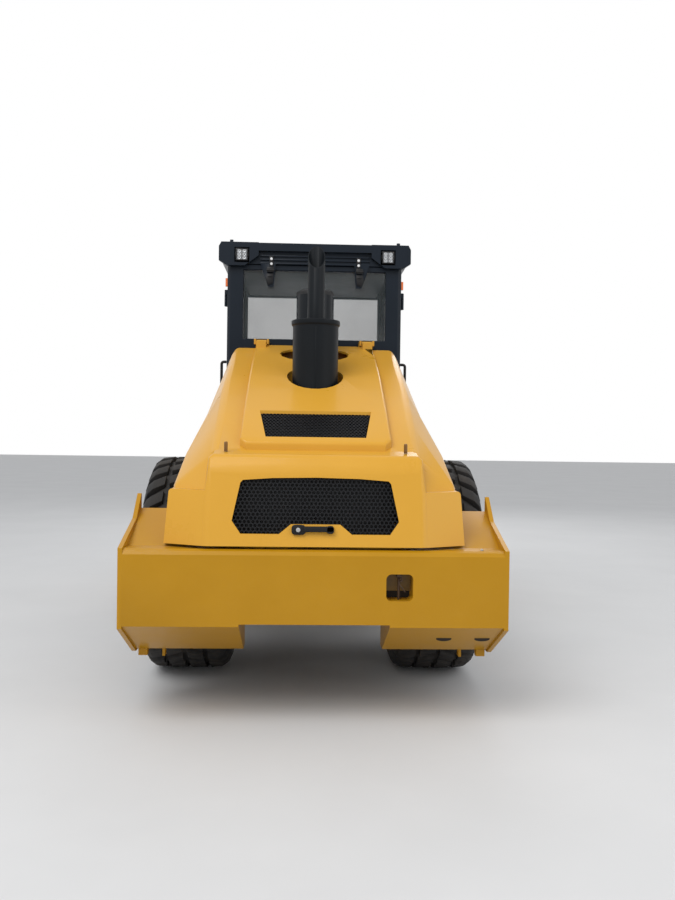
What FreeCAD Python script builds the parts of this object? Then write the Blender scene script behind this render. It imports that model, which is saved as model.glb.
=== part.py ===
# Articulated single-drum road roller: smooth drum in front, two lugged tyres behind.
# Units are millimetres. +Y is forward, +X the machine's right, +Z up.
# The origin lies on the ground under the middle of the overall length.
import FreeCAD, Part
import math
import os

V = FreeCAD.Vector

# Distances along the machine
REAR_OVERHANG = 1430.0
WHEELBASE = 3050.0
DRUM_R = 770.0
DRUM_GAP = 90.0
FRONT_BEAM = 180.0
LENGTH = REAR_OVERHANG + WHEELBASE + DRUM_R + DRUM_GAP + FRONT_BEAM
REAR = -LENGTH / 2
FRONT = LENGTH / 2

# Named clearances
SEAT = 0.3
BORE_GAP = 0.05
RUN = 8.0
PANEL_GAP = 14.0

# Rear tyres and rims
TYRE_R = 750.0
LUG_H = 26.0
TYRE_X = 847.0
TYRE_HALF = 293.0
RIM_R = 335.0
BEAD_X = 215.0
HUB_IN = 190.0
AXLE_Y = REAR + REAR_OVERHANG
AXLE_Z = TYRE_R
LUG_COUNT = 16
WHEEL_SIDES = 32
DRUM_SIDES = 36

# Drum and its frame
DRUM_Z = DRUM_R
DRUM_WALL = 30.0
REAR_BEAM = 200.0
FRAME_HALF = 1150.0
FRAME_T = 65.0
FRAME_IN = FRAME_HALF - FRAME_T
DRUM_HALF = FRAME_IN - 20.0
CARRIER_X = FRAME_IN - 85.0
DRUM_Y = AXLE_Y + WHEELBASE
BEAM_Y1 = DRUM_Y - DRUM_R - DRUM_GAP
BEAM_Y0 = BEAM_Y1 - REAR_BEAM
TRUNNION_R = 92.0
TRUNNION_Z = 800.0

# Steering joint
PIVOT_Y = BEAM_Y0 - 320.0
PIVOT_R = 61.0
FORK_UP = 1000.0
FORK_DOWN = 560.0
FORK_T = 45.0
WEB_HALF = 150.0

# Counterweight
CW_HALF = 1075.0
END_PLATE = 25.0
CW_LOW = 584.0
CW_TOP = 1017.0
CW_DEPTH = 560.0
CW_BOTTOM = 354.0
CW_CENTRE = 425.0
POCKET_X0 = 402.0
POCKET_W = 152.0
POCKET_LOW = 734.0

# Chassis rails and engine bay
RAIL_IN = 400.0
RAIL_OUT = 432.0
RAIL_LOW = 960.0
RAIL_TOP = 1240.0
BAY_X = 512.0
BAY_T = 8.0

# Cab
CAB_HALF = 700.0
CAB_REAR = REAR + 2080.0
CAB_FRONT = REAR + 3450.0
DECK_LOW = 1360.0
CAB_FLOOR = 1420.0
CAB_WALL = 45.0
CAB_SILL = 1480.0
CAB_CORNER = 26.0
PILLAR = 80.0
GLASS_T = 6.0
FRONT_GLASS_LOW = 1560.0
WINDOW_HALF = CAB_HALF - 130.0
WINDSCREEN_HALF = CAB_HALF - PILLAR
ROOF_TOP = 3200.0
ROOF_LOW = ROOF_TOP - 170.0
DOOR_TOP = ROOF_LOW - 20.0
GLASS_TOP = DOOR_TOP - 26.0
REAR_GLASS_LOW = GLASS_TOP - 547.0
ROOF_HALF = CAB_HALF + 65.0
VISOR_REAR = CAB_REAR - 50.0
POD_IN = ROOF_HALF - 315.0
LAMP_X = ROOF_HALF - 183.0

# Doors
HINGE_X = CAB_HALF + 14.0
DOOR_HINGE_Y = CAB_REAR + 68.0
DOOR_HINGES = [CAB_SILL + 220.0, DOOR_TOP - 310.0]
KNUCKLE = 90.0
DOOR_GAP = 8.0
DOOR_FRAME = 60.0

# Shoulders of the hood beside its rear panel
SHOULDER_Z = 1345.0
SHOULDER_HALF = 852.0
SHOULDER_END = 760.0

# Steps beside the platform
STEP_X0 = CAB_HALF + 90.0
STEP_X1 = STEP_X0 + 300.0
TREADS = [440.0, 750.0, 1060.0]

# Hood: distance ahead of the rear face, top, ridge x, flank x, flank z
HOOD_STATIONS = [
    (20.0, 1500.0, 592.0, 612.0, SHOULDER_Z),
    (110.0, 1530.0, 594.0, 622.0, SHOULDER_Z),
    (300.0, 1573.0, 598.0, 850.0, SHOULDER_Z),
    (600.0, 1745.0, 605.0, 822.0, 1520.0),
    (1200.0, 2045.0, 620.0, 760.0, 1776.0),
    (1925.0, 2362.0, 612.0, 705.0, 1996.0),
]
HOOD_WALL = 14.0
HOOD_BASE = 1034.0
HOOD_FRONT = 1925.0
REAR_FACE = [(20.0, HOOD_BASE), (120.0, 1470.0), (170.0, 1550.0), (300.0, 1573.0)]
PANEL_HALF = 622.0
CORNER_HALF = 870.0
CORNER_CUT = 120.0
PANEL_ROUND = 45.0
PAD_ROUND = 40.0
PAD_LINE = [(300.0, 1620.0), (340.0, 1650.0), (637.0, 1821.0), (1140.0, 2077.0), (1650.0, 2280.0),
            (HOOD_FRONT, 2370.0)]
PAD_HALF = 455.0
PAD_DEPTH = 110.0
ARCH_R = TYRE_R + 72.0
HINGE_Y = REAR + 1915.0
HINGE_Z = 2392.0
HINGE_ARM_X = 412.0
STACK_Y = REAR + 1140.0
CLEANER_Y = REAR + 1650.0
SHELF_Z = 1900.0
SHELF_T = 12.0
LOWER_GRILLE = [(0.0, 1421.0), (250.0, 1416.0), (418.0, 1404.0), (432.0, 1388.0), (475.0, 1175.0),
                (424.0, 1103.0), (207.0, 1103.0), (140.0, 1158.0)]
UPPER_GRILLE = [(-302.0, 345.0), (302.0, 345.0), (352.0, 632.0), (-352.0, 632.0)]
SHEET_T = 8.0

# Lugs: side view as x from the middle of the tyre and radius
LUG_PROFILE = [(38.0, TYRE_R - 60.0), (38.0, TYRE_R), (228.0, TYRE_R - 8.0), (262.0, TYRE_R - 34.0),
               (TYRE_HALF - 1.0, TYRE_R - 110.0), (250.0, TYRE_R - 160.0)]
LUG_HALF = 38.0
LUG_SLANT = -0.32
LUG_SHIFT = 34.0

# Steering cylinders
EYE_X = 220.0
EYE_DY = 40.0
ARM_LOW = 696.0
ARM_T = 24.0
CYL_Z = 655.0
ANCHOR_X = 262.0
ANCHOR_DY = -700.0
CYL_PIN_R = 18.0
ROD_R = 22.0


def box(x0, x1, y0, y1, z0, z1):
    return Part.makeBox(x1 - x0, y1 - y0, z1 - z0, V(x0, y0, z0))


def side_box(s, x0, x1, y0, y1, z0, z1):
    """A box given by its distances from the middle plane, on side s."""
    low, high = sorted((s * x0, s * x1))
    return box(low, high, y0, y1, z0, z1)


def cyl(r, p, axis, length):
    return Part.makeCylinder(r, length, V(*p), V(*axis))


def flat_face(points):
    return Part.Face(Part.makePolygon(points + points[:1]))


def prism_x(points, x0, x1):
    return flat_face([V(x0, y, z) for y, z in points]).extrude(V(x1 - x0, 0, 0))


def prism_y(points, y0, y1):
    return flat_face([V(x, y0, z) for x, z in points]).extrude(V(0, y1 - y0, 0))


def prism_z(points, z0, z1):
    return flat_face([V(x, y, z0) for x, y in points]).extrude(V(0, 0, z1 - z0))


def rounded_post(r, p, axis, length, sides=12):
    """A post with flat sides that stands in for a round one nothing turns on."""
    turn = FreeCAD.Rotation(V(0, 0, 1), V(*axis))
    corners = []
    for k in range(sides):
        angle = 2 * math.pi * (k + 0.5) / sides
        corners.append(V(*p) + turn.multVec(V(r * math.cos(angle), r * math.sin(angle), 0)))
    return flat_face(corners).extrude(turn.multVec(V(0, 0, length)))


def solid_of(faces):
    shell = Part.makeShell(faces)
    shell.sewShape()
    solid = Part.makeSolid(shell)
    if solid.Volume < 0:
        solid.reverse()
    return solid


def spun(profile, sides, origin=(0, 0, 0), axis=(1, 0, 0)):
    """A turned solid with flat faces; the profile gives (along, radius) round the axis."""
    turn = FreeCAD.Rotation(V(1, 0, 0), V(*axis))
    count = len(profile)

    def corner(i, k):
        along, radius = profile[i % count]
        angle = 2 * math.pi * ((k % sides) + 0.5) / sides
        return V(*origin) + turn.multVec(V(along, radius * math.cos(angle), radius * math.sin(angle)))

    faces = []
    for k in range(sides):
        for i in range(count):
            ring = [corner(i, k), corner(i + 1, k), corner(i + 1, k + 1), corner(i, k + 1)]
            corners = [p for n, p in enumerate(ring) if (p - ring[n - 1]).Length > 1e-6]
            if len(corners) > 2:
                faces.append(flat_face(corners))
    return solid_of(faces)


def skinned(rings):
    """A solid of flat faces over rings of corners; right and left sides mirror each other."""
    faces = [flat_face(rings[0]), flat_face(rings[-1])]
    count = len(rings[0])
    for a, b in zip(rings[:-1], rings[1:]):
        for k in range(count):
            n = (k + 1) % count
            if abs(a[k].x + a[n].x) < 1e-6:
                faces.append(flat_face([a[k], a[n], b[n], b[k]]))
            elif a[k].x + a[n].x > 0:
                faces.append(flat_face([a[k], a[n], b[n]]))
                faces.append(flat_face([a[k], b[n], b[k]]))
            else:
                faces.append(flat_face([a[k], a[n], b[k]]))
                faces.append(flat_face([a[n], b[n], b[k]]))
    return solid_of(faces)


def both(shape):
    return [shape, shape.mirror(V(0, 0, 0), V(1, 0, 0))]


def union(shapes):
    first = shapes[0]
    result = first.fuse(shapes[1:]) if len(shapes) > 1 else first
    return result.removeSplitter()


def tube_along(points, r, bend=30.0, sides=6):
    """A tube with flat sides along the points, its corners cut back by the bend."""
    path = [V(*p) for p in points]
    corners = [path[0]]
    for before, corner, after in zip(path[:-2], path[1:-1], path[2:]):
        corners.append(corner + (before - corner).normalize() * bend)
        corners.append(corner + (after - corner).normalize() * bend)
    corners.append(path[-1])
    turn = FreeCAD.Rotation(V(0, 0, 1), corners[1] - corners[0])
    ring = []
    for k in range(sides):
        angle = 2 * math.pi * (k + 0.5) / sides
        ring.append(corners[0] + turn.multVec(V(r * math.cos(angle), r * math.sin(angle), 0)))
    section = Part.makePolygon(ring + ring[:1])
    return Part.makePolygon(corners).makePipeShell([section], True, False, 1)


def at(distance):
    """Y of a point this far ahead of the rear face."""
    return REAR + distance


def placed(line, shift=0.0, lower=0.0):
    """Points of a (distance, z) line in the machine's Y and Z, moved ahead and down."""
    return [(at(d + shift), z - lower) for d, z in line]


nodes = {}


def add(name, shape):
    nodes[name] = shape


# Rear chassis: two rails, cross members, hitch web, fork and the brackets of the cylinders
def rounded_tongue(half, y0, y1, z):
    a = V(-half, y1, z)
    b = V(-half, y0, z)
    c = V(half, y0, z)
    d = V(half, y1, z)
    arc = Part.Arc(d, V(0, y1 + half, z), a).toShape()
    edges = [Part.makeLine(a, b), Part.makeLine(b, c), Part.makeLine(c, d), arc]
    return Part.Face(Part.Wire(edges))


def cylinder_bracket(s):
    """Hanging bracket with the pin of one steering cylinder."""
    x = s * ANCHOR_X
    y = PIVOT_Y + ANCHOR_DY
    low = CYL_Z + 17
    plate = box(x - 45, x + 45, y - 45, y + 34, low, low + 20)
    post = box(x - 45, x + 45, y - 85, y - 45, low, RAIL_LOW - 40)
    top = side_box(s, ANCHOR_X - 45, RAIL_OUT, y - 85, y + 45, RAIL_LOW - 60, RAIL_LOW - 40)
    pin = rounded_post(CYL_PIN_R, (x, y, CYL_Z - 18), (0, 0, 1), 50)
    return [plate, post, top, pin]


def build_chassis():
    end = PIVOT_Y - 500
    shapes = both(box(RAIL_IN, RAIL_OUT, at(CW_DEPTH), end, RAIL_LOW, RAIL_TOP))
    for y in (at(620), at(950), at(1850)):
        shapes.append(box(-RAIL_OUT, RAIL_OUT, y, y + 60, RAIL_LOW, RAIL_LOW + 40))
    shapes.append(box(-RAIL_OUT, RAIL_OUT, end - 40, end, RAIL_LOW, RAIL_TOP))
    shapes.append(box(-RAIL_OUT, RAIL_OUT, end - 200, end - 140, RAIL_TOP - 40, RAIL_TOP))
    shapes.append(box(-WEB_HALF, WEB_HALF, end - 40, end + 260, FORK_DOWN, RAIL_TOP - 60))
    for z in (FORK_UP, FORK_DOWN):
        tongue = rounded_tongue(WEB_HALF, end + 200, PIVOT_Y, z)
        shapes.append(tongue.extrude(V(0, 0, FORK_T)))
    for s in (-1, 1):
        saddle = side_box(s, 300, RAIL_OUT, AXLE_Y - 110, AXLE_Y + 110, AXLE_Z + 108, RAIL_LOW)
        plate = side_box(s, 300, RAIL_OUT, end - 300, end, RAIL_LOW - 40, RAIL_LOW)
        shapes = shapes + [saddle, plate] + cylinder_bracket(s)
    body = union(shapes)
    bore = cyl(PIVOT_R, (0, PIVOT_Y, FORK_DOWN - 1), (0, 0, 1), FORK_UP + FORK_T - FORK_DOWN + 2)
    return body.cut(bore)


def build_bay_walls():
    """Walls of the engine bay between the tyres, standing outside the rails."""
    walls = []
    for s in (-1, 1):
        wall = [side_box(s, BAY_X, BAY_X + BAY_T, at(700), CAB_REAR - 40, 1020, 1600)]
        for y in (at(720), at(1250), at(1900)):
            wall.append(side_box(s, RAIL_OUT, BAY_X, y, y + 60, 1060, 1075))
        walls.append(union(wall))
    return Part.makeCompound(walls)


def build_axle():
    half = TYRE_X - HUB_IN
    side = [(half, 0), (half, 150), (half - 46, 150), (half - 46, 108), (200, 108), (130, 160), (60, 192)]
    profile = [(-x, r) for x, r in side] + [(x, r) for x, r in reversed(side)]
    shaft = spun(profile, 16, (0, AXLE_Y, AXLE_Z))
    nose = rounded_post(95, (0, AXLE_Y + 60, AXLE_Z), (0, 1, 0), 270, 8)
    pads = [side_box(s, 306, 426, AXLE_Y - 80, AXLE_Y + 80, AXLE_Z, AXLE_Z + 108) for s in (-1, 1)]
    return union([shaft, nose] + pads)


# Counterweight with its sloped underside, end plates, feet and tow recess
def build_counterweight():
    crown = [(0, CW_TOP - 30), (9, CW_TOP - 9), (30, CW_TOP)]
    below = [(CW_DEPTH, CW_BOTTOM), (440, CW_BOTTOM)]
    wing = placed([(0, CW_LOW)] + crown + [(160, CW_TOP), (CW_DEPTH, CW_TOP + 183)] + below)
    inner = placed([(0, CW_LOW)] + crown + [(CW_DEPTH, CW_TOP)] + below)
    centre = placed([(0, CW_LOW + 14)] + crown
                    + [(CW_DEPTH, CW_TOP), (CW_DEPTH, CW_TOP - 77), (300, CW_TOP - 77), (300, CW_LOW + 14)])
    plate = placed([(0, CW_LOW - 14), (0, CW_TOP + 4), (410, CW_TOP + 133), (CW_DEPTH, CW_TOP + 273),
                    (CW_DEPTH + 8, CW_TOP + 273), (CW_DEPTH + 8, CW_BOTTOM - 14), (432, CW_BOTTOM - 14)])
    wing_in = PANEL_HALF + 13
    shapes = [prism_x(centre, -CW_CENTRE - 1, CW_CENTRE + 1)]
    for s in (-1, 1):
        shapes.append(prism_x(wing, s * wing_in, s * CW_HALF))
        shapes.append(prism_x(inner, s * CW_CENTRE, s * wing_in))
        shapes.append(prism_x(plate, s * CW_HALF, s * (CW_HALF + END_PLATE)))
        shapes.append(side_box(s, CW_HALF - 67, CW_HALF - 13, at(440), at(485), CW_BOTTOM - 42, CW_BOTTOM))
        tab = side_box(s, CW_HALF - 166, CW_HALF - 150, at(490), at(545), CW_BOTTOM - 58, CW_BOTTOM)
        hole = cyl(14, (s * (CW_HALF - 158) - 20, at(516), CW_BOTTOM - 32), (1, 0, 0), 40)
        shapes.append(tab.cut(hole))
    body = union(shapes)
    pocket = box(POCKET_X0, POCKET_X0 + POCKET_W, at(-1), at(120), POCKET_LOW, POCKET_LOW + POCKET_W)
    pocket = pocket.makeChamfer(18, [e for e in pocket.Edges if abs(e.tangentAt(0).y) > 0.9])
    return body.cut(pocket)


def build_tow_pin():
    """Tow pin and its catch in the recess of the counterweight."""
    x = POCKET_X0 + POCKET_W / 2
    top = POCKET_LOW + POCKET_W
    pin = rounded_post(13, (x, at(55), POCKET_LOW), (0, 0, 1), POCKET_W, 8)
    catch = box(x - 16, x + 16, at(18), at(70), top - 24, top)
    return union([pin, catch])


def build_engine():
    block = box(-320, 320, at(930), at(1870), RAIL_LOW + 40, 1720)
    head = box(-230, 230, at(980), at(1800), 1720, 1830)
    return union([block, head])


def build_cooler():
    core = box(-480, 480, at(330), at(470), CW_TOP, CW_TOP + 483)
    shroud = box(-400, 400, at(470), at(520), CW_TOP, CW_TOP + 433)
    return union([core, shroud])


# Platform, side tanks, steps and rails
def build_platform():
    shapes = [box(-STEP_X1 + 40, STEP_X1 - 40, CAB_REAR + 230, CAB_REAR + 770, DECK_LOW, CAB_FLOOR)]
    shapes.append(box(-CAB_HALF, CAB_HALF, CAB_REAR, CAB_FRONT, DECK_LOW, CAB_FLOOR))
    for s in (-1, 1):
        for y in (CAB_REAR + 120, CAB_REAR + 400):
            shapes.append(side_box(s, RAIL_IN - 10, RAIL_OUT + 10, y, y + 70, RAIL_TOP, DECK_LOW))
    return union(shapes)


def build_tanks():
    tanks = []
    low = 640
    for s in (-1, 1):
        tank = side_box(s, RAIL_OUT + 20, STEP_X0 - 20, CAB_REAR + 240, CAB_REAR + 730, low, DECK_LOW)
        under = [e for e in tank.Edges if abs(e.tangentAt(0).y) > 0.9 and abs(e.CenterOfMass.z - low) < 1]
        tank = tank.makeChamfer(40, under)
        web = side_box(s, RAIL_OUT, RAIL_OUT + 20, CAB_REAR + 280, CAB_REAR + 420, 1000, 1200)
        tanks.append(union([tank, web]))
    return Part.makeCompound(tanks)


def build_steps():
    ladders = []
    for s in (-1, 1):
        shapes = []
        for y in (CAB_REAR + 260, CAB_REAR + 686):
            shapes.append(side_box(s, STEP_X0, STEP_X1, y, y + 14, TREADS[0] - 10, DECK_LOW))
        for z in TREADS:
            shapes.append(side_box(s, STEP_X0, STEP_X1, CAB_REAR + 274, CAB_REAR + 686, z, z + 30))
        shapes.append(side_box(s, STEP_X0 - 20, STEP_X0, CAB_REAR + 260, CAB_REAR + 700, 1020, 1100))
        ladders.append(union(shapes))
    return Part.makeCompound(ladders)


def build_handrails():
    rails = []
    y = CAB_REAR + 41
    back = CAB_FRONT + SEAT
    front = CAB_FRONT + 60
    for s in (-1, 1):
        x = s * (CAB_HALF + 40)
        wall = s * (CAB_HALF + SEAT)
        rails.append(tube_along([(wall, y, 1870), (x, y, 1870), (x, y, 2250), (wall, y, 2250)], 12, 14))
        x = s * (CAB_HALF - 60)
        rails.append(tube_along([(x, back, 1560), (x, front, 1560), (x, front, 2150), (x, back, 2150)], 12))
    return Part.makeCompound(rails)


# Cab
def cab_plan(y0, y1, half, corner):
    right = [(half - corner, y0), (half, y0 + corner), (half, y1 - corner), (half - corner, y1)]
    return right + [(-x, y) for x, y in reversed(right)]


def build_cab_frame():
    outer = prism_z(cab_plan(CAB_REAR, CAB_FRONT, CAB_HALF, CAB_CORNER), CAB_FLOOR, ROOF_LOW)
    wall = CAB_WALL
    inner = box(-CAB_HALF + wall, CAB_HALF - wall, CAB_REAR + wall, CAB_FRONT - wall, CAB_FLOOR + 20, ROOF_LOW + 1)
    shell = outer.cut(inner)
    doors = box(-CAB_HALF - 1, CAB_HALF + 1, CAB_REAR + PILLAR, CAB_FRONT - PILLAR, CAB_SILL, DOOR_TOP)
    rear = box(-WINDOW_HALF, WINDOW_HALF, CAB_REAR - 1, CAB_REAR + PILLAR, REAR_GLASS_LOW, GLASS_TOP)
    half = WINDSCREEN_HALF
    front = box(-half, half, CAB_FRONT - PILLAR, CAB_FRONT + 1, FRONT_GLASS_LOW, GLASS_TOP)
    posts = []
    for s in (-1, 1):
        for y in (CAB_REAR + wall, CAB_FRONT - PILLAR):
            post = side_box(s, CAB_HALF - PILLAR, CAB_HALF - wall, y, y + PILLAR - wall, CAB_FLOOR + 20, ROOF_LOW)
            posts.append(post)
        for z in DOOR_HINGES:
            top = z + KNUCKLE + SEAT
            posts.append(rounded_post(12, (s * HINGE_X, DOOR_HINGE_Y, top), (0, 0, 1), 40, 8))
            posts.append(side_box(s, CAB_HALF - 1, HINGE_X, DOOR_HINGE_Y - 34, DOOR_HINGE_Y, top + 2, top + 38))
    return union([shell.cut(doors).cut(rear).cut(front)] + posts)


def build_glass(half, y, low):
    return box(-half + SEAT, half - SEAT, y, y + GLASS_T, low + SEAT, GLASS_TOP - SEAT)


def build_roof():
    edge = [(ROOF_HALF - 30, ROOF_TOP), (ROOF_HALF, ROOF_TOP - 40), (ROOF_HALF, ROOF_LOW + 60), (CAB_HALF, ROOF_LOW)]
    slab = edge + [(-x, z) for x, z in reversed(edge)]
    top = prism_y(slab, CAB_REAR - 10, CAB_FRONT + 60)
    hollow = box(-CAB_HALF + 90, CAB_HALF - 90, CAB_REAR + 90, CAB_FRONT - 90, ROOF_LOW - 1, ROOF_LOW + 70)
    beam = box(-POD_IN, POD_IN, VISOR_REAR, CAB_REAR - 10, ROOF_TOP - 70, ROOF_TOP - 8)
    shapes = [top.cut(hollow), beam]
    corner = [(POD_IN, ROOF_TOP - 4), (ROOF_HALF - 20, ROOF_TOP - 4), (ROOF_HALF, ROOF_TOP - 40),
              (ROOF_HALF, ROOF_TOP - 150), (ROOF_HALF - 60, ROOF_TOP - 190), (POD_IN + 110, ROOF_TOP - 190),
              (POD_IN, ROOF_TOP - 110)]
    middle = WINDOW_HALF - 196
    bracket = [(middle + 60, ROOF_LOW), (middle - 60, ROOF_LOW), (middle - 45, ROOF_LOW - 180),
               (middle, ROOF_LOW - 180)]
    for s in (-1, 1):
        pod = prism_y([(s * x, z) for x, z in corner], VISOR_REAR, CAB_REAR - 10)
        recess = side_box(s, LAMP_X - 60, LAMP_X + 60, VISOR_REAR - 1, VISOR_REAR + 26, ROOF_TOP - 165, ROOF_TOP - 45)
        shapes.append(pod.cut(recess))
        shapes.append(prism_y([(s * x, z) for x, z in bracket], CAB_REAR - 22, CAB_REAR - SEAT))
        low = ROOF_LOW - 1
        shapes.append(side_box(s, middle - 60, middle + 60, CAB_REAR - 22, CAB_REAR - 5, low, ROOF_LOW + 20))
        shapes.append(rounded_post(15, (s * (ROOF_HALF - 100), VISOR_REAR + 25, ROOF_TOP - 10), (0, 0, 1), 24, 8))
    return union(shapes)


def lamp_at(x, y, depth, low):
    lamp = box(x - 48, x + 48, y, y + depth, low, low + 96)
    return lamp.makeChamfer(10, [e for e in lamp.Edges if abs(e.tangentAt(0).y) > 0.9])


def build_lamps():
    """Two work lamps in the rear visor and four under the front edge of the roof."""
    lamps = []
    for s in (-1, 1):
        lamps.append(lamp_at(s * LAMP_X, VISOR_REAR - 14, 40, ROOF_TOP - 153))
        for x in (s * (ROOF_HALF - 145), s * (ROOF_HALF - 295)):
            lamps.append(lamp_at(x, CAB_FRONT + 60, 50, ROOF_TOP - 150))
    return Part.makeCompound(lamps)


def build_markers():
    low = ROOF_LOW - 175
    return Part.makeCompound(both(box(CAB_HALF, CAB_HALF + 16, CAB_REAR + 30, CAB_REAR + 56, low, low + 65)))


def build_seat():
    base = box(-200, 200, CAB_REAR + 480, CAB_REAR + 880, CAB_FLOOR + 20, CAB_FLOOR + 300)
    pan = box(-250, 250, CAB_REAR + 420, CAB_REAR + 920, CAB_FLOOR + 300, CAB_FLOOR + 430)
    back = [(CAB_REAR + 410, CAB_FLOOR + 430), (CAB_REAR + 540, CAB_FLOOR + 430),
            (CAB_REAR + 480, CAB_FLOOR + 1060), (CAB_REAR + 370, CAB_FLOOR + 1060)]
    return union([base, pan, prism_x(back, -240, 240)])


def build_console():
    floor = CAB_FLOOR + 20
    column = [(CAB_REAR + 1070, floor), (CAB_REAR + 1250, floor), (CAB_REAR + 1170, floor + 560),
              (CAB_REAR + 1080, floor + 560)]
    dash = box(-180, 180, CAB_REAR + 960, CAB_REAR + 1210, floor + 560, floor + 660)
    side = box(290, 430, CAB_REAR + 480, CAB_REAR + 980, floor, floor + 540)
    return Part.makeCompound([union([prism_x(column, -90, 90), dash]), side])


def build_steering_wheel():
    centre = V(0, CAB_REAR + 1000, CAB_FLOOR + 744)
    axis = V(0, -0.42, 0.907)
    section = []
    for k in range(4):
        angle = math.radians(k * 90)
        section.append((15 * math.sin(angle), 190 + 15 * math.cos(angle)))
    ring = spun(section, 20, centre, axis)
    hub = rounded_post(40, centre - axis * 30, axis, 60)
    shaft = rounded_post(22, centre - axis * 60, axis, 60, 12)
    spokes = []
    for degrees in (90, 210, 330):
        angle = math.radians(degrees)
        along = V(1, 0, 0) * math.cos(angle) + V(0, 0.907, 0.42) * math.sin(angle)
        spokes.append(rounded_post(10, centre, along, 190, 4))
    return union([ring, hub, shaft] + spokes)


# Doors
def build_door(s):
    y0 = CAB_REAR + PILLAR + DOOR_GAP
    y1 = CAB_FRONT - PILLAR - DOOR_GAP
    z0 = CAB_SILL + DOOR_GAP
    z1 = DOOR_TOP - DOOR_GAP
    edge = DOOR_FRAME
    frame = side_box(s, CAB_HALF - CAB_WALL, CAB_HALF, y0, y1, z0, z1)
    window = side_box(s, CAB_HALF - CAB_WALL - 1, CAB_HALF + 1, y0 + edge, y1 - edge, z0 + edge, z1 - edge)
    shapes = [frame.cut(window)]
    for z in DOOR_HINGES:
        shapes.append(cyl(12, (s * HINGE_X, DOOR_HINGE_Y, z), (0, 0, 1), KNUCKLE))
        shapes.append(side_box(s, CAB_HALF + 3, HINGE_X + 8, DOOR_HINGE_Y + 4, y0 + 40, z + 5, z + KNUCKLE - 5))
        shapes.append(side_box(s, CAB_HALF - 1, CAB_HALF + 4, y0 + 6, y0 + 40, z + 5, z + KNUCKLE - 5))
    x0 = s * (CAB_HALF - 1)
    x1 = s * (CAB_HALF + 35)
    y = y1 - 30
    shapes.append(tube_along([(x0, y, 1950), (x1, y, 1950), (x1, y, 2130), (x0, y, 2130)], 9, 14))
    return union(shapes)


def build_door_glass(s):
    inset = DOOR_GAP + DOOR_FRAME + SEAT
    y0 = CAB_REAR + PILLAR + inset
    y1 = CAB_FRONT - PILLAR - inset
    return side_box(s, CAB_HALF - 24, CAB_HALF - 24 + GLASS_T, y0, y1, CAB_SILL + inset, DOOR_TOP - inset)


# Hood
def hood_body(inset):
    rings = []
    low = HOOD_BASE - (60 if inset else 0)
    last = HOOD_STATIONS[-1][0]
    for d, top, ridge, flank, flank_z in HOOD_STATIONS:
        y = at(d - inset) if d == last else at(d)
        side = [(flank - inset, low), (flank - inset, flank_z - inset * 0.4), (ridge - inset * 0.8, top - inset)]
        ring = side + [(-x, z) for x, z in reversed(side)]
        rings.append([V(x, y, z) for x, z in ring])
    shoulder = [(CORNER_HALF - inset, low), (SHOULDER_HALF - inset, SHOULDER_Z - inset)]
    block = prism_y(shoulder + [(-x, z) for x, z in reversed(shoulder)], at(0), at(SHOULDER_END))
    return skinned(rings).fuse(block)


def hood_plan(inset):
    """Block whose rear corners are cut off at a slant and lean with the rear wall."""
    front = at(HOOD_FRONT - inset)
    half = PANEL_HALF - inset * 0.5
    rings = []
    for z, lean_z in ((960.0, 960.0), (SHOULDER_Z, SHOULDER_Z), (2500.0, SHOULDER_Z)):
        rear = face_distance(lean_z) + inset
        right = [(half, at(rear)), (CORNER_HALF, at(rear + CORNER_CUT)), (CORNER_HALF, front)]
        plan = right + [(-x, y) for x, y in reversed(right)]
        rings.append([V(x, y, z) for x, y in plan])
    return skinned(rings)


def side_view(inset):
    """Outline of the hood from the side, its top line above the stations."""
    top = [(600.0, 1760.0), (1200.0, 2060.0), (HOOD_FRONT + 1, 2345.0)]
    if inset:
        low = HOOD_BASE - 60
        slope = (REAR_FACE[1][0] - REAR_FACE[0][0]) / (REAR_FACE[1][1] - REAR_FACE[0][1])
        rear = [(REAR_FACE[0][0] + inset - 60 * slope, low), (REAR_FACE[1][0] + inset, REAR_FACE[1][1])]
        rear = rear + [(d + inset * 0.5, z - inset) for d, z in REAR_FACE[2:]]
        return placed(rear + [(d, z - 2 * inset) for d, z in top] + [(HOOD_FRONT + 1, low)])
    return placed(REAR_FACE + top + [(HOOD_FRONT + 1, HOOD_BASE)])


def pad(inset):
    upper = placed(PAD_LINE, inset, inset)
    upper[-1] = (at(HOOD_FRONT - inset), PAD_LINE[-1][1] - inset)
    lower = [(y, z - PAD_DEPTH) for y, z in reversed(upper)]
    half = PAD_HALF - inset
    rear = at(PAD_LINE[0][0])
    right = [(half - PAD_ROUND, rear), (half, rear + PAD_ROUND), (half, at(HOOD_FRONT))]
    plan = right + [(-x, y) for x, y in reversed(right)]
    return prism_x(upper + lower, -half, half).common(prism_z(plan, 1400, 2500))


def slot_plan(half_x, r, y, sides=12):
    """A long hole with round ends across the machine."""
    points = []
    for s in (1, -1):
        for k in range(sides // 2 + 1):
            angle = math.pi * k / (sides // 2)
            points.append((s * (half_x + r * math.sin(angle)), y + s * -r * math.cos(angle)))
    return points


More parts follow.
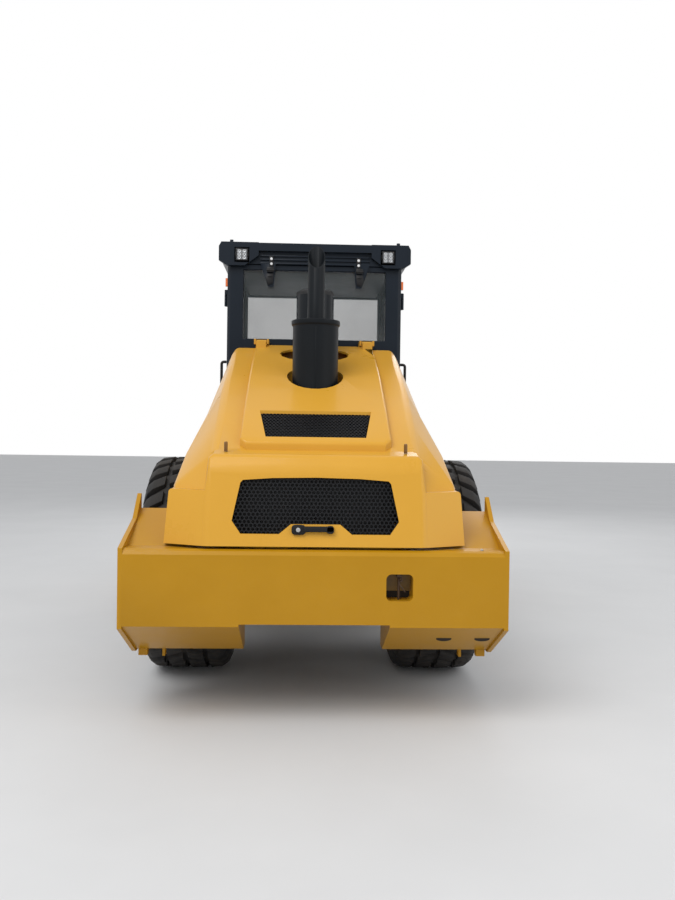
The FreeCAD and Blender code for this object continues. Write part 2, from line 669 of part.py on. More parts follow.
def build_hood():
    body = hood_body(0).common(prism_x(side_view(0), -900, 900)).common(hood_plan(0))
    panel = prism_x(placed(REAR_FACE) + placed([(HOOD_FRONT, 1573.0), (HOOD_FRONT, HOOD_BASE)]), -PANEL_HALF, PANEL_HALF)
    top = REAR_FACE[-1][1]
    face = [(PANEL_HALF, HOOD_BASE), (PANEL_HALF, top - PANEL_ROUND), (PANEL_HALF - PANEL_ROUND, top)]
    panel = panel.common(prism_y(face + [(-x, z) for x, z in reversed(face)], at(0), at(HOOD_FRONT)))
    body = body.fuse([panel, pad(0)])
    inset = HOOD_WALL
    cavity = hood_body(inset).common(prism_x(side_view(inset), -900, 900))
    cavity = cavity.common(hood_plan(inset)).fuse(pad(inset))
    shell = body.cut(cavity)
    deck = placed([(150, 1000), (160, CW_TOP + PANEL_GAP), (CW_DEPTH, 1214), (720, 1222), (720, 1000)])
    for s in (-1, 1):
        x0, x1 = sorted((s * (BAY_X - 20), s * 900))
        shell = shell.cut(cyl(ARCH_R, (x0, AXLE_Y, AXLE_Z), (1, 0, 0), x1 - x0))
        shell = shell.cut(box(x0, x1, AXLE_Y, at(2000), 1000, 1560))
        shell = shell.cut(prism_x(deck, s * (PANEL_HALF + 3), s * 900))
        shell = shell.cut(side_box(s, BAY_X - 1, BAY_X + BAY_T + 12, at(600), at(2000), 1000, 1610))
    shell = shell.cut(box(-640, 640, at(1890), at(1930), 1000, 2080))
    shell = shell.cut(rounded_post(195, (0, STACK_Y, 1930), (0, 0, 1), 400, 24))
    shell = shell.cut(prism_z(slot_plan(115, 145, CLEANER_Y), 2100, 2500))
    shell = shell.cut(lower_grille_cutter()).cut(upper_grille_cutter(0))
    shelf = box(-600, 600, at(960), at(1860), SHELF_Z, SHELF_Z + SHELF_T).common(hood_body(inset - 2))
    shell = shell.fuse(shelf)
    for s in (-1, 1):
        x = s * HINGE_ARM_X
        lug = box(x - 38, x + 38, at(1840), HINGE_Y, HINGE_Z - 57, HINGE_Z)
        knuckle = rounded_post(18, (x - 38, HINGE_Y, HINGE_Z), (1, 0, 0), 76)
        bore = cyl(9.06, (x - 50, HINGE_Y, HINGE_Z), (1, 0, 0), 100)
        shell = shell.fuse([lug, knuckle]).cut(bore)
    return shell.removeSplitter()


def lower_grille_outline(margin=0.0):
    right = [(x + margin, z + margin) for x, z in LOWER_GRILLE]
    last_z = LOWER_GRILLE[-1][1]
    return right + [(0, last_z + margin)] + [(-x, z) for x, z in reversed(right[1:])]


def lower_grille_cutter():
    return prism_y(lower_grille_outline(), at(0), at(300))


def upper_grille_cutter(inset):
    points = []
    for x, d in UPPER_GRILLE:
        points.append((x - math.copysign(inset, x), at(d - math.copysign(inset, d - 480))))
    return prism_z(points, 1560, 1900)


def face_distance(z):
    """Distance of the hood's rear wall ahead of the rear face at height z."""
    (d0, z0), (d1, z1) = REAR_FACE[:2]
    return d0 + (d1 - d0) * (z - z0) / (z1 - z0)


def build_grilles():
    """Perforated sheets: one behind the opening of the rear wall, one in the pad."""
    z0 = HOOD_BASE + 55
    z1 = HOOD_BASE + 410
    near = HOOD_WALL + SEAT
    far = near + SHEET_T
    sheet = placed([(face_distance(z0) + near, z0), (face_distance(z0) + far, z0),
                    (face_distance(z1) + far, z1), (face_distance(z1) + near, z1)])
    outline = [(-500, z0), (500, z0), (455, z1), (-455, z1)]
    lower = prism_x(sheet, -500, 500).common(prism_y(outline, at(0), at(400)))
    upper = prism_x(placed([(338, 1630), (640, 1803), (640, 1811), (338, 1638)]), -360, 360)
    return Part.makeCompound([lower, upper.common(upper_grille_cutter(SEAT))])


def build_hood_fittings():
    """Latch handle below the lower grille and two pegs on the ledge above it."""
    low = HOOD_BASE + 72
    high = HOOD_BASE + 120
    seat = [(face_distance(low) - SEAT, low), (face_distance(high) - SEAT, high)]
    handle = prism_x(placed(seat + [(face_distance(high) - 18, high - 4), (face_distance(low) - 18, low + 4)]), -130, 104)
    lock = rounded_post(22, (-96, at(face_distance(low) - 26), (low + high) / 2), (0, 1, 0), 22, 8)
    clear = prism_x(placed(seat + [(200, high), (200, low)]), -200, 200)
    shapes = [union([handle, lock]).cut(clear)]
    (d0, z0), (d1, z1) = REAR_FACE[2:]
    ledge = [(d0, z0 + SEAT), (d1, z1 + SEAT), (d1, z1 - 40), (d0, z0 - 40)]
    for x in (-PANEL_HALF + 94, PANEL_HALF - 94):
        peg = rounded_post(11, (x, at((d0 + d1) / 2), z0), (0, 0, 1), 72, 8)
        shapes.append(peg.cut(prism_x(placed(ledge), x - 30, x + 30)))
    return Part.makeCompound(shapes)


def build_muffler():
    base = SHELF_Z + SHELF_T
    can = [(0, 0), (0, 158), (513, 158), (513, 168), (543, 168), (543, 0)]
    body = spun(can, 24, (0, STACK_Y, base), (0, 0, 1))
    pipe = rounded_post(59.5, (0, STACK_Y, base + 500), (0, 0, 1), 590, 16)
    knife = Part.makeBox(400, 600, 400, V(-200, -300, 0))
    knife.rotate(V(0, 0, 0), V(1, 0, 0), 56.5)
    knife.translate(V(0, STACK_Y, base + 988))
    bore = rounded_post(54, (0, STACK_Y, base + 600), (0, 0, 1), 500, 16)
    return union([body, pipe.cut(knife)]).cut(bore)


def build_cleaner():
    profile = [(0, 0), (0, 70), (378, 70), (378, 110), (418, 110), (418, 141), (818, 141), (840, 120), (840, 0)]
    return spun(profile, 24, (0, CLEANER_Y, SHELF_Z + SHELF_T), (0, 0, 1))


def build_hood_hinges():
    """Brackets on the cab's rear wall that carry the hood's hinge pins."""
    pairs = []
    low = HINGE_Z - 18
    high = HINGE_Z + 22
    for s in (-1, 1):
        x = s * HINGE_ARM_X
        shapes = [box(x - 58, x + 58, CAB_REAR - 12, CAB_REAR, low, high)]
        for x0 in (x - 58, x + 42):
            shapes.append(box(x0, x0 + 16, HINGE_Y - 16, CAB_REAR, low, high))
        shapes.append(cyl(9, (x - 50, HINGE_Y, HINGE_Z), (1, 0, 0), 100))
        pairs.append(union(shapes))
    return Part.makeCompound(pairs)


# Wheels
def build_lug(k):
    """A slanted bar from beside the middle of the tread over the shoulder, with flat faces."""
    points = [V(k * x, LUG_SLANT * x - LUG_HALF + LUG_SHIFT, r) for x, r in LUG_PROFILE]
    return flat_face(points).extrude(V(0, 2 * LUG_HALF, 0))


def build_tyre(s):
    tread = TYRE_R - LUG_H
    side = [(BEAD_X, RIM_R), (268, 430), (TYRE_HALF - 2, 560), (272, TYRE_R - 110), (222, tread - 18), (60, tread)]
    profile = [(-x, r) for x, r in side] + [(x, r) for x, r in reversed(side)]
    pitch = 360.0 / LUG_COUNT
    lugs = []
    for k, lag in ((-1, 0.0), (1, 0.5)):
        for i in range(LUG_COUNT):
            lug = build_lug(k)
            lug.rotate(V(0, 0, 0), V(1, 0, 0), (i + lag) * pitch)
            lugs.append(lug)
    tyre = union([spun(profile, WHEEL_SIDES)] + lugs)
    tyre.translate(V(s * TYRE_X, AXLE_Y, AXLE_Z))
    return tyre


def build_rim(s):
    seat = RIM_R - SEAT
    side = [(BEAD_X + 2, seat), (BEAD_X + 28, RIM_R + 18), (BEAD_X + 22, RIM_R - 25)]
    ring = [(-x, r) for x, r in side] + [(x, r) for x, r in reversed(side)]
    disc_x = s * 20
    reach = HUB_IN - SEAT
    disc = spun([(disc_x - 12, 0), (disc_x - 12, RIM_R - 20), (disc_x + 12, RIM_R - 20), (disc_x + 12, 0)], WHEEL_SIDES)
    hub = cyl(150, (disc_x, 0, 0), (-s, 0, 0), reach + 20)
    cap = rounded_post(125, (disc_x, 0, 0), (s, 0, 0), 150, 16)
    rim = union([spun(ring, WHEEL_SIDES), disc, hub, cap])
    rim.translate(V(s * TYRE_X, AXLE_Y, AXLE_Z))
    return rim


# Centre hitch: swings on the fork's pins, carries the trunnion of the drum frame
def build_hitch():
    low = FORK_DOWN + FORK_T + SEAT
    post = rounded_post(108, (0, PIVOT_Y, low), (0, 0, 1), FORK_UP - SEAT - low)
    pins = cyl(PIVOT_R - BORE_GAP, (0, PIVOT_Y, FORK_DOWN - 6), (0, 0, 1), FORK_UP + FORK_T + 12 - FORK_DOWN)
    collar = rounded_post(122, (0, PIVOT_Y + 40, TRUNNION_Z), (0, 1, 0), BEAM_Y0 - SEAT - PIVOT_Y - 40)
    trunnion = cyl(TRUNNION_R, (0, PIVOT_Y + 300, TRUNNION_Z), (0, 1, 0), BEAM_Y1 - 10 - PIVOT_Y - 300)
    shapes = [post, pins, collar, trunnion]
    eye_y = PIVOT_Y + EYE_DY
    shapes.append(box(-EYE_X, EYE_X, eye_y - 40, eye_y + 40, ARM_LOW, ARM_LOW + ARM_T))
    for s in (-1, 1):
        shapes.append(rounded_post(43, (s * EYE_X, eye_y, ARM_LOW), (0, 0, 1), ARM_T, 8))
    return union(shapes)


# Steering cylinders, one each side below the rails
def cylinder_axis(s):
    a = V(s * ANCHOR_X, PIVOT_Y + ANCHOR_DY, CYL_Z)
    b = V(s * EYE_X, PIVOT_Y + EYE_DY, CYL_Z)
    return a, b, (b - a) * (1.0 / (b - a).Length)


def build_barrel(s):
    a, b, d = cylinder_axis(s)
    body = rounded_post(42, a + d * 60, d, 420, 8)
    bore = Part.makeCylinder(ROD_R + BORE_GAP, 420, a + d * 80, d)
    eye = rounded_post(34, (a.x, a.y, CYL_Z - 15), (0, 0, 1), 30)
    hole = cyl(CYL_PIN_R + BORE_GAP, (a.x, a.y, CYL_Z - 20), (0, 0, 1), 40)
    neck = rounded_post(14, a + d * 20, d, 50, 4)
    return union([body, eye, neck]).cut(hole).cut(bore)


def build_rod(s):
    """Rod with its eye and the pin that hangs under the arm of the hitch."""
    a, b, d = cylinder_axis(s)
    rod = Part.makeCylinder(ROD_R, (b - a).Length - 290, a + d * 260, d)
    eye = rounded_post(34, (b.x, b.y, CYL_Z - 15), (0, 0, 1), 30)
    pin = rounded_post(CYL_PIN_R, (b.x, b.y, CYL_Z - 24), (0, 0, 1), ARM_LOW - SEAT - CYL_Z + 24, 8)
    return union([rod, eye, pin])


# Drum frame
def build_drum_frame():
    beam_low = 620.0
    beam_top = 1050.0
    step = BEAM_Y1 + 60
    rear = [(-600, BEAM_Y0), (600, BEAM_Y0), (FRAME_HALF, BEAM_Y1), (FRAME_HALF, step), (-FRAME_HALF, step),
            (-FRAME_HALF, BEAM_Y1)]
    inside = box(-FRAME_IN, FRAME_IN, BEAM_Y1, step + 20, beam_low - 20, beam_top + 50)
    shapes = [prism_z(rear, beam_low, beam_top).cut(inside)]
    nose = FRONT - FRONT_BEAM
    shapes.append(box(-FRAME_HALF, FRAME_HALF, nose, FRONT, 640, 960))
    side = [(BEAM_Y1 - 20, beam_low), (BEAM_Y1 - 20, beam_top), (DRUM_Y - 430, 1080), (DRUM_Y + 420, 1080),
            (nose, 960), (nose + 60, 960), (nose + 60, 640), (nose - 40, 640), (DRUM_Y + 420, 480),
            (DRUM_Y - 420, 480), (BEAM_Y1 + 140, beam_low)]
    for s in (-1, 1):
        shapes.append(prism_x(side, s * FRAME_IN, s * FRAME_HALF))
    body = union(shapes)
    bore = cyl(TRUNNION_R + BORE_GAP, (0, BEAM_Y0 - 1, TRUNNION_Z), (0, 1, 0), REAR_BEAM + 2)
    return body.cut(bore)


def build_scrapers():
    half = DRUM_HALF - 25
    level = DRUM_Z - 50
    reach = math.sqrt((DRUM_R + RUN) ** 2 - (level - DRUM_Z) ** 2)
    rear = box(-half, half, BEAM_Y1, DRUM_Y - reach, level - 8, level + 8)
    front = box(-half, half, DRUM_Y + reach, FRONT - FRONT_BEAM, level - 8, level + 8)
    return Part.makeCompound([rear, front])


def build_isolators():
    posts = []
    for s in (-1, 1):
        x = s * (CARRIER_X + 20)
        for i in range(8):
            angle = math.radians(22.5 + i * 45)
            start = (x, DRUM_Y + 220 * math.cos(angle), DRUM_Z + 220 * math.sin(angle))
            posts.append(rounded_post(48, start, (s, 0, 0), FRAME_IN - CARRIER_X - 20, 6))
    return Part.makeCompound(posts)


def build_carriers():
    carriers = []
    for s in (-1, 1):
        x = s * CARRIER_X
        disc = rounded_post(290, (x, DRUM_Y, DRUM_Z), (s, 0, 0), 20, 16)
        housing = rounded_post(150, (x, DRUM_Y, DRUM_Z), (-s, 0, 0), 120)
        bore = cyl(90 + BORE_GAP, (x - s * 40, DRUM_Y, DRUM_Z), (-s, 0, 0), 90)
        carriers.append(union([disc, housing]).cut(bore))
    return Part.makeCompound(carriers)


def build_drum():
    inner = DRUM_R - DRUM_WALL
    whole = cyl(DRUM_R, (-DRUM_HALF, DRUM_Y, DRUM_Z), (1, 0, 0), 2 * DRUM_HALF)
    core = rounded_post(inner, (-DRUM_HALF - 1, DRUM_Y, DRUM_Z), (1, 0, 0), 2 * DRUM_HALF + 2, DRUM_SIDES)
    shapes = [whole.cut(core)]
    for s in (-1, 1):
        x = s * (CARRIER_X - 200)
        shapes.append(rounded_post(inner + 6, (x, DRUM_Y, DRUM_Z), (s, 0, 0), 30, DRUM_SIDES))
        shapes.append(rounded_post(200, (x + s * 20, DRUM_Y, DRUM_Z), (s, 0, 0), 42))
        shapes.append(cyl(90, (x + s * 15, DRUM_Y, DRUM_Z), (s, 0, 0), 140))
    return union(shapes)


add("rear_chassis", build_chassis())
add("bay_walls", build_bay_walls())
add("rear_axle", build_axle())
add("counterweight", build_counterweight())
add("tow_pin", build_tow_pin())
add("engine_block", build_engine())
add("cooler", build_cooler())
add("platform", build_platform())
add("side_tanks", build_tanks())
add("access_steps", build_steps())
add("handrails", build_handrails())
add("cab_frame", build_cab_frame())
add("cab_roof", build_roof())
add("rear_glass", build_glass(WINDOW_HALF, CAB_REAR + 20, REAR_GLASS_LOW))
add("windscreen", build_glass(WINDSCREEN_HALF, CAB_FRONT - 26, FRONT_GLASS_LOW))
add("work_lamps", build_lamps())
add("side_markers", build_markers())
add("seat", build_seat())
add("console", build_console())
add("steering_wheel", build_steering_wheel())
add("hood_hinges", build_hood_hinges())
add("hood_shell", build_hood())
add("grilles", build_grilles())
add("hood_fittings", build_hood_fittings())
add("muffler", build_muffler())
add("air_precleaner", build_cleaner())
for side, name in ((-1, "left"), (1, "right")):
    add(name + "_door", build_door(side))
    add(name + "_door_glass", build_door_glass(side))
    add(name + "_tyre", build_tyre(side))
    add(name + "_rim", build_rim(side))
    add(name + "_steer_barrel", build_barrel(side))
    add(name + "_steer_rod", build_rod(side))
add("centre_hitch", build_hitch())
add("drum_frame", build_drum_frame())
add("drum_scrapers", build_scrapers())
add("drum_isolators", build_isolators())
add("drum_carriers", build_carriers())
add("drum", build_drum())

os.makedirs("parts", exist_ok=True)
for name, shape in nodes.items():
    shape.exportStep("parts/%s.step" % name)
    bounds = shape.BoundBox
    print(name, shape.isValid(), len(shape.Solids), round(bounds.XMin), round(bounds.XMax), round(bounds.YMin),
          round(bounds.YMax), round(bounds.ZMin), round(bounds.ZMax))
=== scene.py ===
"""Dressed single-drum road roller: finishes, small fittings and the studio round it."""
import logging
import math
from dataclasses import dataclass
from enum import Enum
from functools import cache
from itertools import product
from typing import Callable, Iterable, Mapping, Sequence

import bmesh
import bpy
from mathutils import Matrix, Vector


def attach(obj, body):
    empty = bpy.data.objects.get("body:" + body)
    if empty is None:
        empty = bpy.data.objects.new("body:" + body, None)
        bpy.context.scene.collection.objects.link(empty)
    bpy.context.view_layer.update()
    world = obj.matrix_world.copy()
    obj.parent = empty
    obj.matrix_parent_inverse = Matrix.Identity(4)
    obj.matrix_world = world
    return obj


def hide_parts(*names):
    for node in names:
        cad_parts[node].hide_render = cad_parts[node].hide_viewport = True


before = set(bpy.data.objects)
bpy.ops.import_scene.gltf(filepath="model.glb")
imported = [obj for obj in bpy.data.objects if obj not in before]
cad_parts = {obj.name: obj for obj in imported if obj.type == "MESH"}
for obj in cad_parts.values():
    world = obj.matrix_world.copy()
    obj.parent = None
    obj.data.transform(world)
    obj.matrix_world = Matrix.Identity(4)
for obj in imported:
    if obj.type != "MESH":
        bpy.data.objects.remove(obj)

logging.basicConfig(level=logging.INFO, format="%(message)s")
LOG = logging.getLogger("roller")

REAR = -2.76
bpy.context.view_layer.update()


def at(distance: float) -> float:
    """Y of a point this far ahead of the counterweight's rear face."""
    return REAR + distance


class Body(str, Enum):
    """Rigid bodies of the machine that new pieces ride on."""

    FRAME = "rear_frame"
    HOOD = "hood"
    LEFT_DOOR = "left_door"
    RIGHT_DOOR = "right_door"
    LEFT_WHEEL = "left_wheel"
    RIGHT_WHEEL = "right_wheel"
    HITCH = "hitch"
    DRUM_FRAME = "drum_frame"
    DRUM = "drum"


# Shader helpers
class Shader:
    """A node tree with short calls for adding and linking nodes."""

    def __init__(self, tree: bpy.types.NodeTree) -> None:
        """Wraps a material's or group's node tree."""
        self.tree = tree
        self.nodes = tree.nodes

    def put(self, target: bpy.types.NodeSocket, value: object) -> None:
        """Links a socket into an input, or sets the input to a number or a colour.

        Args:
            target: the input.
            value: what goes into it.
        """
        if isinstance(value, bpy.types.NodeSocket):
            self.tree.links.new(value, target)
        else:
            target.default_value = (*value, 1.0) if isinstance(value, tuple) else value

    def add(self, kind: str, inputs: dict[int | str, object] | None = None, **values: object) -> bpy.types.Node:
        """Adds a node.

        Args:
            kind: the node's type name.
            inputs: what goes into its inputs.
            values: properties of the node.

        Returns:
            The new node.
        """
        node = self.nodes.new(kind)
        for key, value in values.items():
            setattr(node, key, value)
        for key, value in (inputs or {}).items():
            self.put(node.inputs[key], value)
        return node

    def noise(self, coords: bpy.types.NodeSocket, scale: object, detail: float = 4.0,
              rough: float = 0.6) -> bpy.types.NodeSocket:
        """Noise value on the given coordinates.

        Args:
            coords: the coordinates.
            scale: the pattern's scale per metre, number or socket.
            detail: octaves of detail.
            rough: roughness of the octaves.

        Returns:
            The factor output.
        """
        return self.add("ShaderNodeTexNoise", {"Vector": coords, "Scale": scale, "Detail": detail,
                                               "Roughness": rough}).outputs["Fac"]

    def ramp(self, value: bpy.types.NodeSocket, low: float, high: float,
             out_low: float = 0.0, out_high: float = 1.0) -> bpy.types.NodeSocket:
        """Maps a value from one range to another, clamped.

        Args:
            value: the value to map.
            low: where the ramp starts.
            high: where it ends.
            out_low: result at the start.
            out_high: result at the end.

        Returns:
            The mapped value.
        """
        return self.add("ShaderNodeMapRange", {"Value": value, "From Min": low, "From Max": high, "To Min": out_low,
                                               "To Max": out_high}).outputs["Result"]

    def math(self, operation: str, a: object, b: object) -> bpy.types.NodeSocket:
        """One arithmetic step on sockets or numbers."""
        return self.add("ShaderNodeMath", {0: a, 1: b}, operation=operation).outputs[0]

    def mix(self, factor: object, a: object, b: object) -> bpy.types.NodeSocket:
        """Mixes two colours or colour sockets."""
        return self.add("ShaderNodeMix", {0: factor, 6: a, 7: b}, data_type="RGBA").outputs[2]


@cache
def grime_group() -> bpy.types.NodeTree:
    """Makes the group that puts out a dust mask, a grain value and a broad tone value.

    Returns:
        The shared node group.
    """
    tree = bpy.data.node_groups.new("grime", "ShaderNodeTree")
    face = tree.interface
    face.new_socket("Vector", in_out="INPUT", socket_type="NodeSocketVector")
    for name, value in (("Grain Scale", 300.0), ("Blotch Scale", 2.5), ("Dust", 0.3)):
        face.new_socket(name, in_out="INPUT", socket_type="NodeSocketFloat").default_value = value
    for name in ("Dust Mask", "Grain", "Tone"):
        face.new_socket(name, in_out="OUTPUT", socket_type="NodeSocketFloat")
    sh = Shader(tree)
    start = sh.add("NodeGroupInput").outputs
    coords = start["Vector"]
    grain = sh.noise(coords, start["Grain Scale"], 3.0, 0.5)
    blotch = sh.noise(coords, start["Blotch Scale"], 6.0, 0.65)
    normal = sh.add("ShaderNodeNewGeometry").outputs["Normal"]
    up = sh.ramp(sh.add("ShaderNodeSeparateXYZ", {0: normal}).outputs["Z"], 0.1, 1.0)
    low = sh.ramp(sh.add("ShaderNodeSeparateXYZ", {0: coords}).outputs["Z"], 1.3, 0.1)
    patch = sh.math("MULTIPLY", sh.ramp(blotch, 0.35, 0.7), sh.ramp(sh.noise(coords, 22.0, 8.0, 0.75), 0.3, 0.75))
    height = sh.math("MAXIMUM", sh.math("MULTIPLY", up, 0.7), low)
    dust = sh.math("MULTIPLY", sh.math("MULTIPLY", patch, height), start["Dust"])
    sh.add("NodeGroupOutput", {"Dust Mask": sh.math("MINIMUM", dust, 1.0), "Grain": grain, "Tone": blotch})
    return tree


def start_material(name: str) -> tuple[bpy.types.Material, Shader, Mapping[str, bpy.types.NodeSocket],
                                       bpy.types.NodeSocket]:
    """Starts a node material.

    Args:
        name: the material's name.

    Returns:
        The material, its tree, its shader's inputs and the object's coordinates.
    """
    material = bpy.data.materials.new(name)
    material.use_nodes = True
    sh = Shader(material.node_tree)
    return material, sh, sh.nodes["Principled BSDF"].inputs, sh.add("ShaderNodeTexCoord").outputs["Object"]


DUST = (0.33, 0.27, 0.2)
DUST_ROUGHNESS = 0.45
FILM = (0.35, 0.34, 0.32)
SHADE = 0.82
BUMP_STRENGTH = 0.35


@dataclass(frozen=True)
class Finish:
    """A painted, moulded or bare surface with grain, blotches and dust."""

    name: str
    color: tuple[float, float, float]
    slot: str
    shade: tuple[float, float, float] | None = None
    rough: float = 0.4
    rough_spread: float = 0.12
    metallic: float = 0.0
    coat: float = 0.0
    coat_rough: float = 0.1
    grain_scale: float = 260.0
    grain_depth: float = 0.0004
    blotch: float = 2.2
    dust: float = 0.4
    specular: float = 0.5
    sheen: float = 0.0

    @cache
    def make(self) -> bpy.types.Material:
        """Builds the material once.

        Returns:
            The material.
        """
        material, sh, inputs, coords = start_material(self.name)
        grime = sh.add("ShaderNodeGroup", node_tree=grime_group())
        for name, value in (("Vector", coords), ("Grain Scale", self.grain_scale), ("Blotch Scale", self.blotch),
                            ("Dust", self.dust)):
            sh.put(grime.inputs[name], value)
        mask, tone = grime.outputs["Dust Mask"], grime.outputs["Tone"]
        shade = self.shade or tuple(c * SHADE for c in self.color)
        base = sh.mix(sh.ramp(tone, 0.3, 0.7), shade, self.color)
        spread = self.rough_spread / 2
        rough = sh.ramp(tone, 0.3, 0.75, self.rough - spread, self.rough + spread)
        bump = sh.add("ShaderNodeBump", {"Strength": BUMP_STRENGTH, "Distance": self.grain_depth,
                                         "Height": grime.outputs["Grain"]})
        for name, value in (("Base Color", sh.mix(mask, base, DUST)),
                            ("Roughness", sh.math("ADD", rough, sh.math("MULTIPLY", mask, DUST_ROUGHNESS))),
                            ("Metallic", self.metallic), ("Coat Weight", self.coat),
                            ("Coat Roughness", self.coat_rough), ("Specular IOR Level", self.specular),
                            ("Sheen Weight", self.sheen), ("Normal", bump.outputs["Normal"])):
            sh.put(inputs[name], value)
        return material


@dataclass(frozen=True)
class GlassFinish:
    """Tinted window glass with a faint film of dust."""

    name: str
    tint: tuple[float, float, float]
    slot: str
    rough: float = 0.02
    alpha: float = 0.3

    @cache
    def make(self) -> bpy.types.Material:
        """Builds the material once.

        Returns:
            The material.
        """
        material, sh, inputs, coords = start_material(self.name)
        film = sh.noise(coords, 2.2, 2.0, 0.4)
        for name, value in (("Base Color", sh.mix(sh.ramp(film, 0.45, 0.8, 0.0, 0.25), self.tint, FILM)),
                            ("Roughness", sh.ramp(film, 0.35, 0.75, self.rough, self.rough + 0.05)),
                            ("Alpha", sh.ramp(film, 0.35, 0.8, self.alpha, self.alpha + 0.08)),
                            ("Specular IOR Level", 0.6)):
            sh.put(inputs[name], value)
        return material


YELLOW = Finish("hood_yellow", (0.65, 0.335, 0.036), "painted_yellow", shade=(0.625, 0.32, 0.032), rough=0.32,
                coat=0.1, coat_rough=0.08, grain_scale=420, grain_depth=0.0002, dust=0.03, specular=0.2)
# The hood's yellow paint made darker: painted shade for the counterweight's bumper, which reflects the darker ground;
# the drum frame and carriers take it too.
SHADED_YELLOW = Finish("shaded_yellow", (0.475, 0.236, 0.005), "painted_yellow", shade=(0.44, 0.215, 0.0045),
                     rough=0.34, coat=0.08, coat_rough=0.1, grain_scale=120, grain_depth=0.0005, dust=0.08,
                     specular=0.22)
CAB = Finish("cab_blue_grey", (0.0105, 0.0155, 0.0235), "cab_grey", rough=0.34, coat=0.03, dust=0.06, specular=0.12)
CHASSIS = Finish("chassis_grey", (0.02, 0.021, 0.024), "frame_grey", rough=0.5, dust=0.4, grain_depth=0.0006)
RUBBER = Finish("tyre_rubber", (0.017, 0.017, 0.018), "tyre", rough=0.72, dust=0.3, grain_scale=180,
                grain_depth=0.001, specular=0.3)
RIM = Finish("rim_yellow", (0.60, 0.28, 0.012), "rim_paint", rough=0.42, coat=0.15, dust=0.35)
DRUM_STEEL = Finish("drum_shell_steel", (0.35, 0.34, 0.325), "drum_steel", rough=0.36, metallic=0.9, dust=0.16,
                    shade=(0.27, 0.258, 0.24), grain_scale=60, grain_depth=0.0006, blotch=3.0)
BLACK = Finish("moulded_black", (0.009, 0.009, 0.010), "black_plastic", rough=0.42, dust=0.05, grain_scale=700,
               specular=0.25)
MESH_BLACK = Finish("grille_paint", (0.009, 0.0098, 0.0125), "mesh_black", rough=0.4, dust=0.04, specular=0.28)
MUFFLER = Finish("muffler_paint", (0.0085, 0.0108, 0.0135), "muffler_black", rough=0.42, dust=0.04,
                 shade=(0.0075, 0.009, 0.0108), grain_depth=0.0005, specular=0.12)
IRON = Finish("engine_casting", (0.05, 0.05, 0.054), "engine_iron", rough=0.6, dust=0.4, grain_scale=90,
              grain_depth=0.0012)
CLOTH = Finish("seat_weave", (0.02, 0.021, 0.024), "seat_cloth", rough=0.9, dust=0.05, grain_scale=900,
               grain_depth=0.0008, sheen=0.3)
SOFT_RUBBER = Finish("soft_rubber", (0.014, 0.014, 0.014), "rubber", rough=0.7, dust=0.25)
CHROME = Finish("rod_chrome", (0.62, 0.62, 0.63), "chrome", rough=0.12, rough_spread=0.06, metallic=1.0, dust=0.1)
BOLT = Finish("zinc_bolt", (0.55, 0.55, 0.54), "chrome", rough=0.35, metallic=0.7, dust=0.1)
BRONZE = Finish("bronze_peg", (0.20, 0.10, 0.03), "engine_iron", rough=0.4, metallic=0.7, dust=0.1)
ORANGE = Finish("marker_orange", (0.75, 0.16, 0.02), "orange", rough=0.25, coat=0.6, dust=0.1)
LENS = Finish("lamp_reflector", (0.72, 0.74, 0.76), "lamp", rough=0.16, coat=0.5, dust=0.02, metallic=0.35)
SMOKED = Finish("smoked_bowl", (0.0085, 0.0115, 0.015), "smoked", rough=0.22, coat=0.08, dust=0.04, specular=0.12)
GLASS = GlassFinish("window_glass", (0.05, 0.065, 0.07), "glass", alpha=0.22)

# Painted shadow: near black for the insides of holes and slots, where no light reaches.
SHADOW = Finish("painted_shadow", (0.012, 0.009, 0.007), "frame_grey", rough=0.8, dust=0.1)
# Painted shade: the yellow turned dark brown on the back of the counterweight's recess, where shade falls, blotchy at
# random.
RECESS_SHADE = Finish("recess_painted_shade", (0.26, 0.16, 0.02), "frame_grey", rough=0.5, dust=0.2, blotch=9.0,
                shade=(0.15, 0.09, 0.012))
BARE_STEEL = Finish("rusty_steel", (0.085, 0.048, 0.026), "engine_iron", rough=0.62, metallic=0.55, dust=0.5,
                    shade=(0.05, 0.03, 0.02), grain_scale=90, grain_depth=0.0008)
WHITE_CAP = Finish("bolt_cap", (0.72, 0.73, 0.74), "lamp", rough=0.3, dust=0.02)
LAMP_GLASS = GlassFinish("lamp_cover", (0.5, 0.52, 0.54), "lamp", rough=0.05, alpha=0.18)

CAD_FINISHES: dict[str, Finish | GlassFinish] = {node: finish for finish, nodes in (
    (CHASSIS, "rear_chassis bay_walls rear_axle side_tanks left_steer_barrel right_steer_barrel centre_hitch "
              "drum_scrapers"),
    (SHADED_YELLOW, "counterweight drum_frame drum_carriers"),
    (YELLOW, "hood_hinges hood_shell"),
    (CAB, "platform access_steps cab_frame cab_roof left_door right_door"),
    (GLASS, "rear_glass windscreen left_door_glass right_door_glass"),
    (BLACK, "handrails work_lamps console steering_wheel hood_fittings"),
    (MESH_BLACK, "cooler grilles"),
    (IRON, "tow_pin engine_block"),
    (RUBBER, "left_tyre right_tyre"),
    (RIM, "left_rim right_rim"),
    (CHROME, "left_steer_rod right_steer_rod"),
    (ORANGE, "side_markers"), (CLOTH, "seat"), (MUFFLER, "muffler"), (SMOKED, "air_precleaner"),
    (SOFT_RUBBER, "drum_isolators"), (DRUM_STEEL, "drum"),
) for node in nodes.split()}


def dress_cad_nodes() -> None:
    """Gives every carried-over node its finish."""
    for name, finish in CAD_FINISHES.items():
        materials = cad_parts[name].data.materials
        materials.clear()
        materials.append(finish.make())


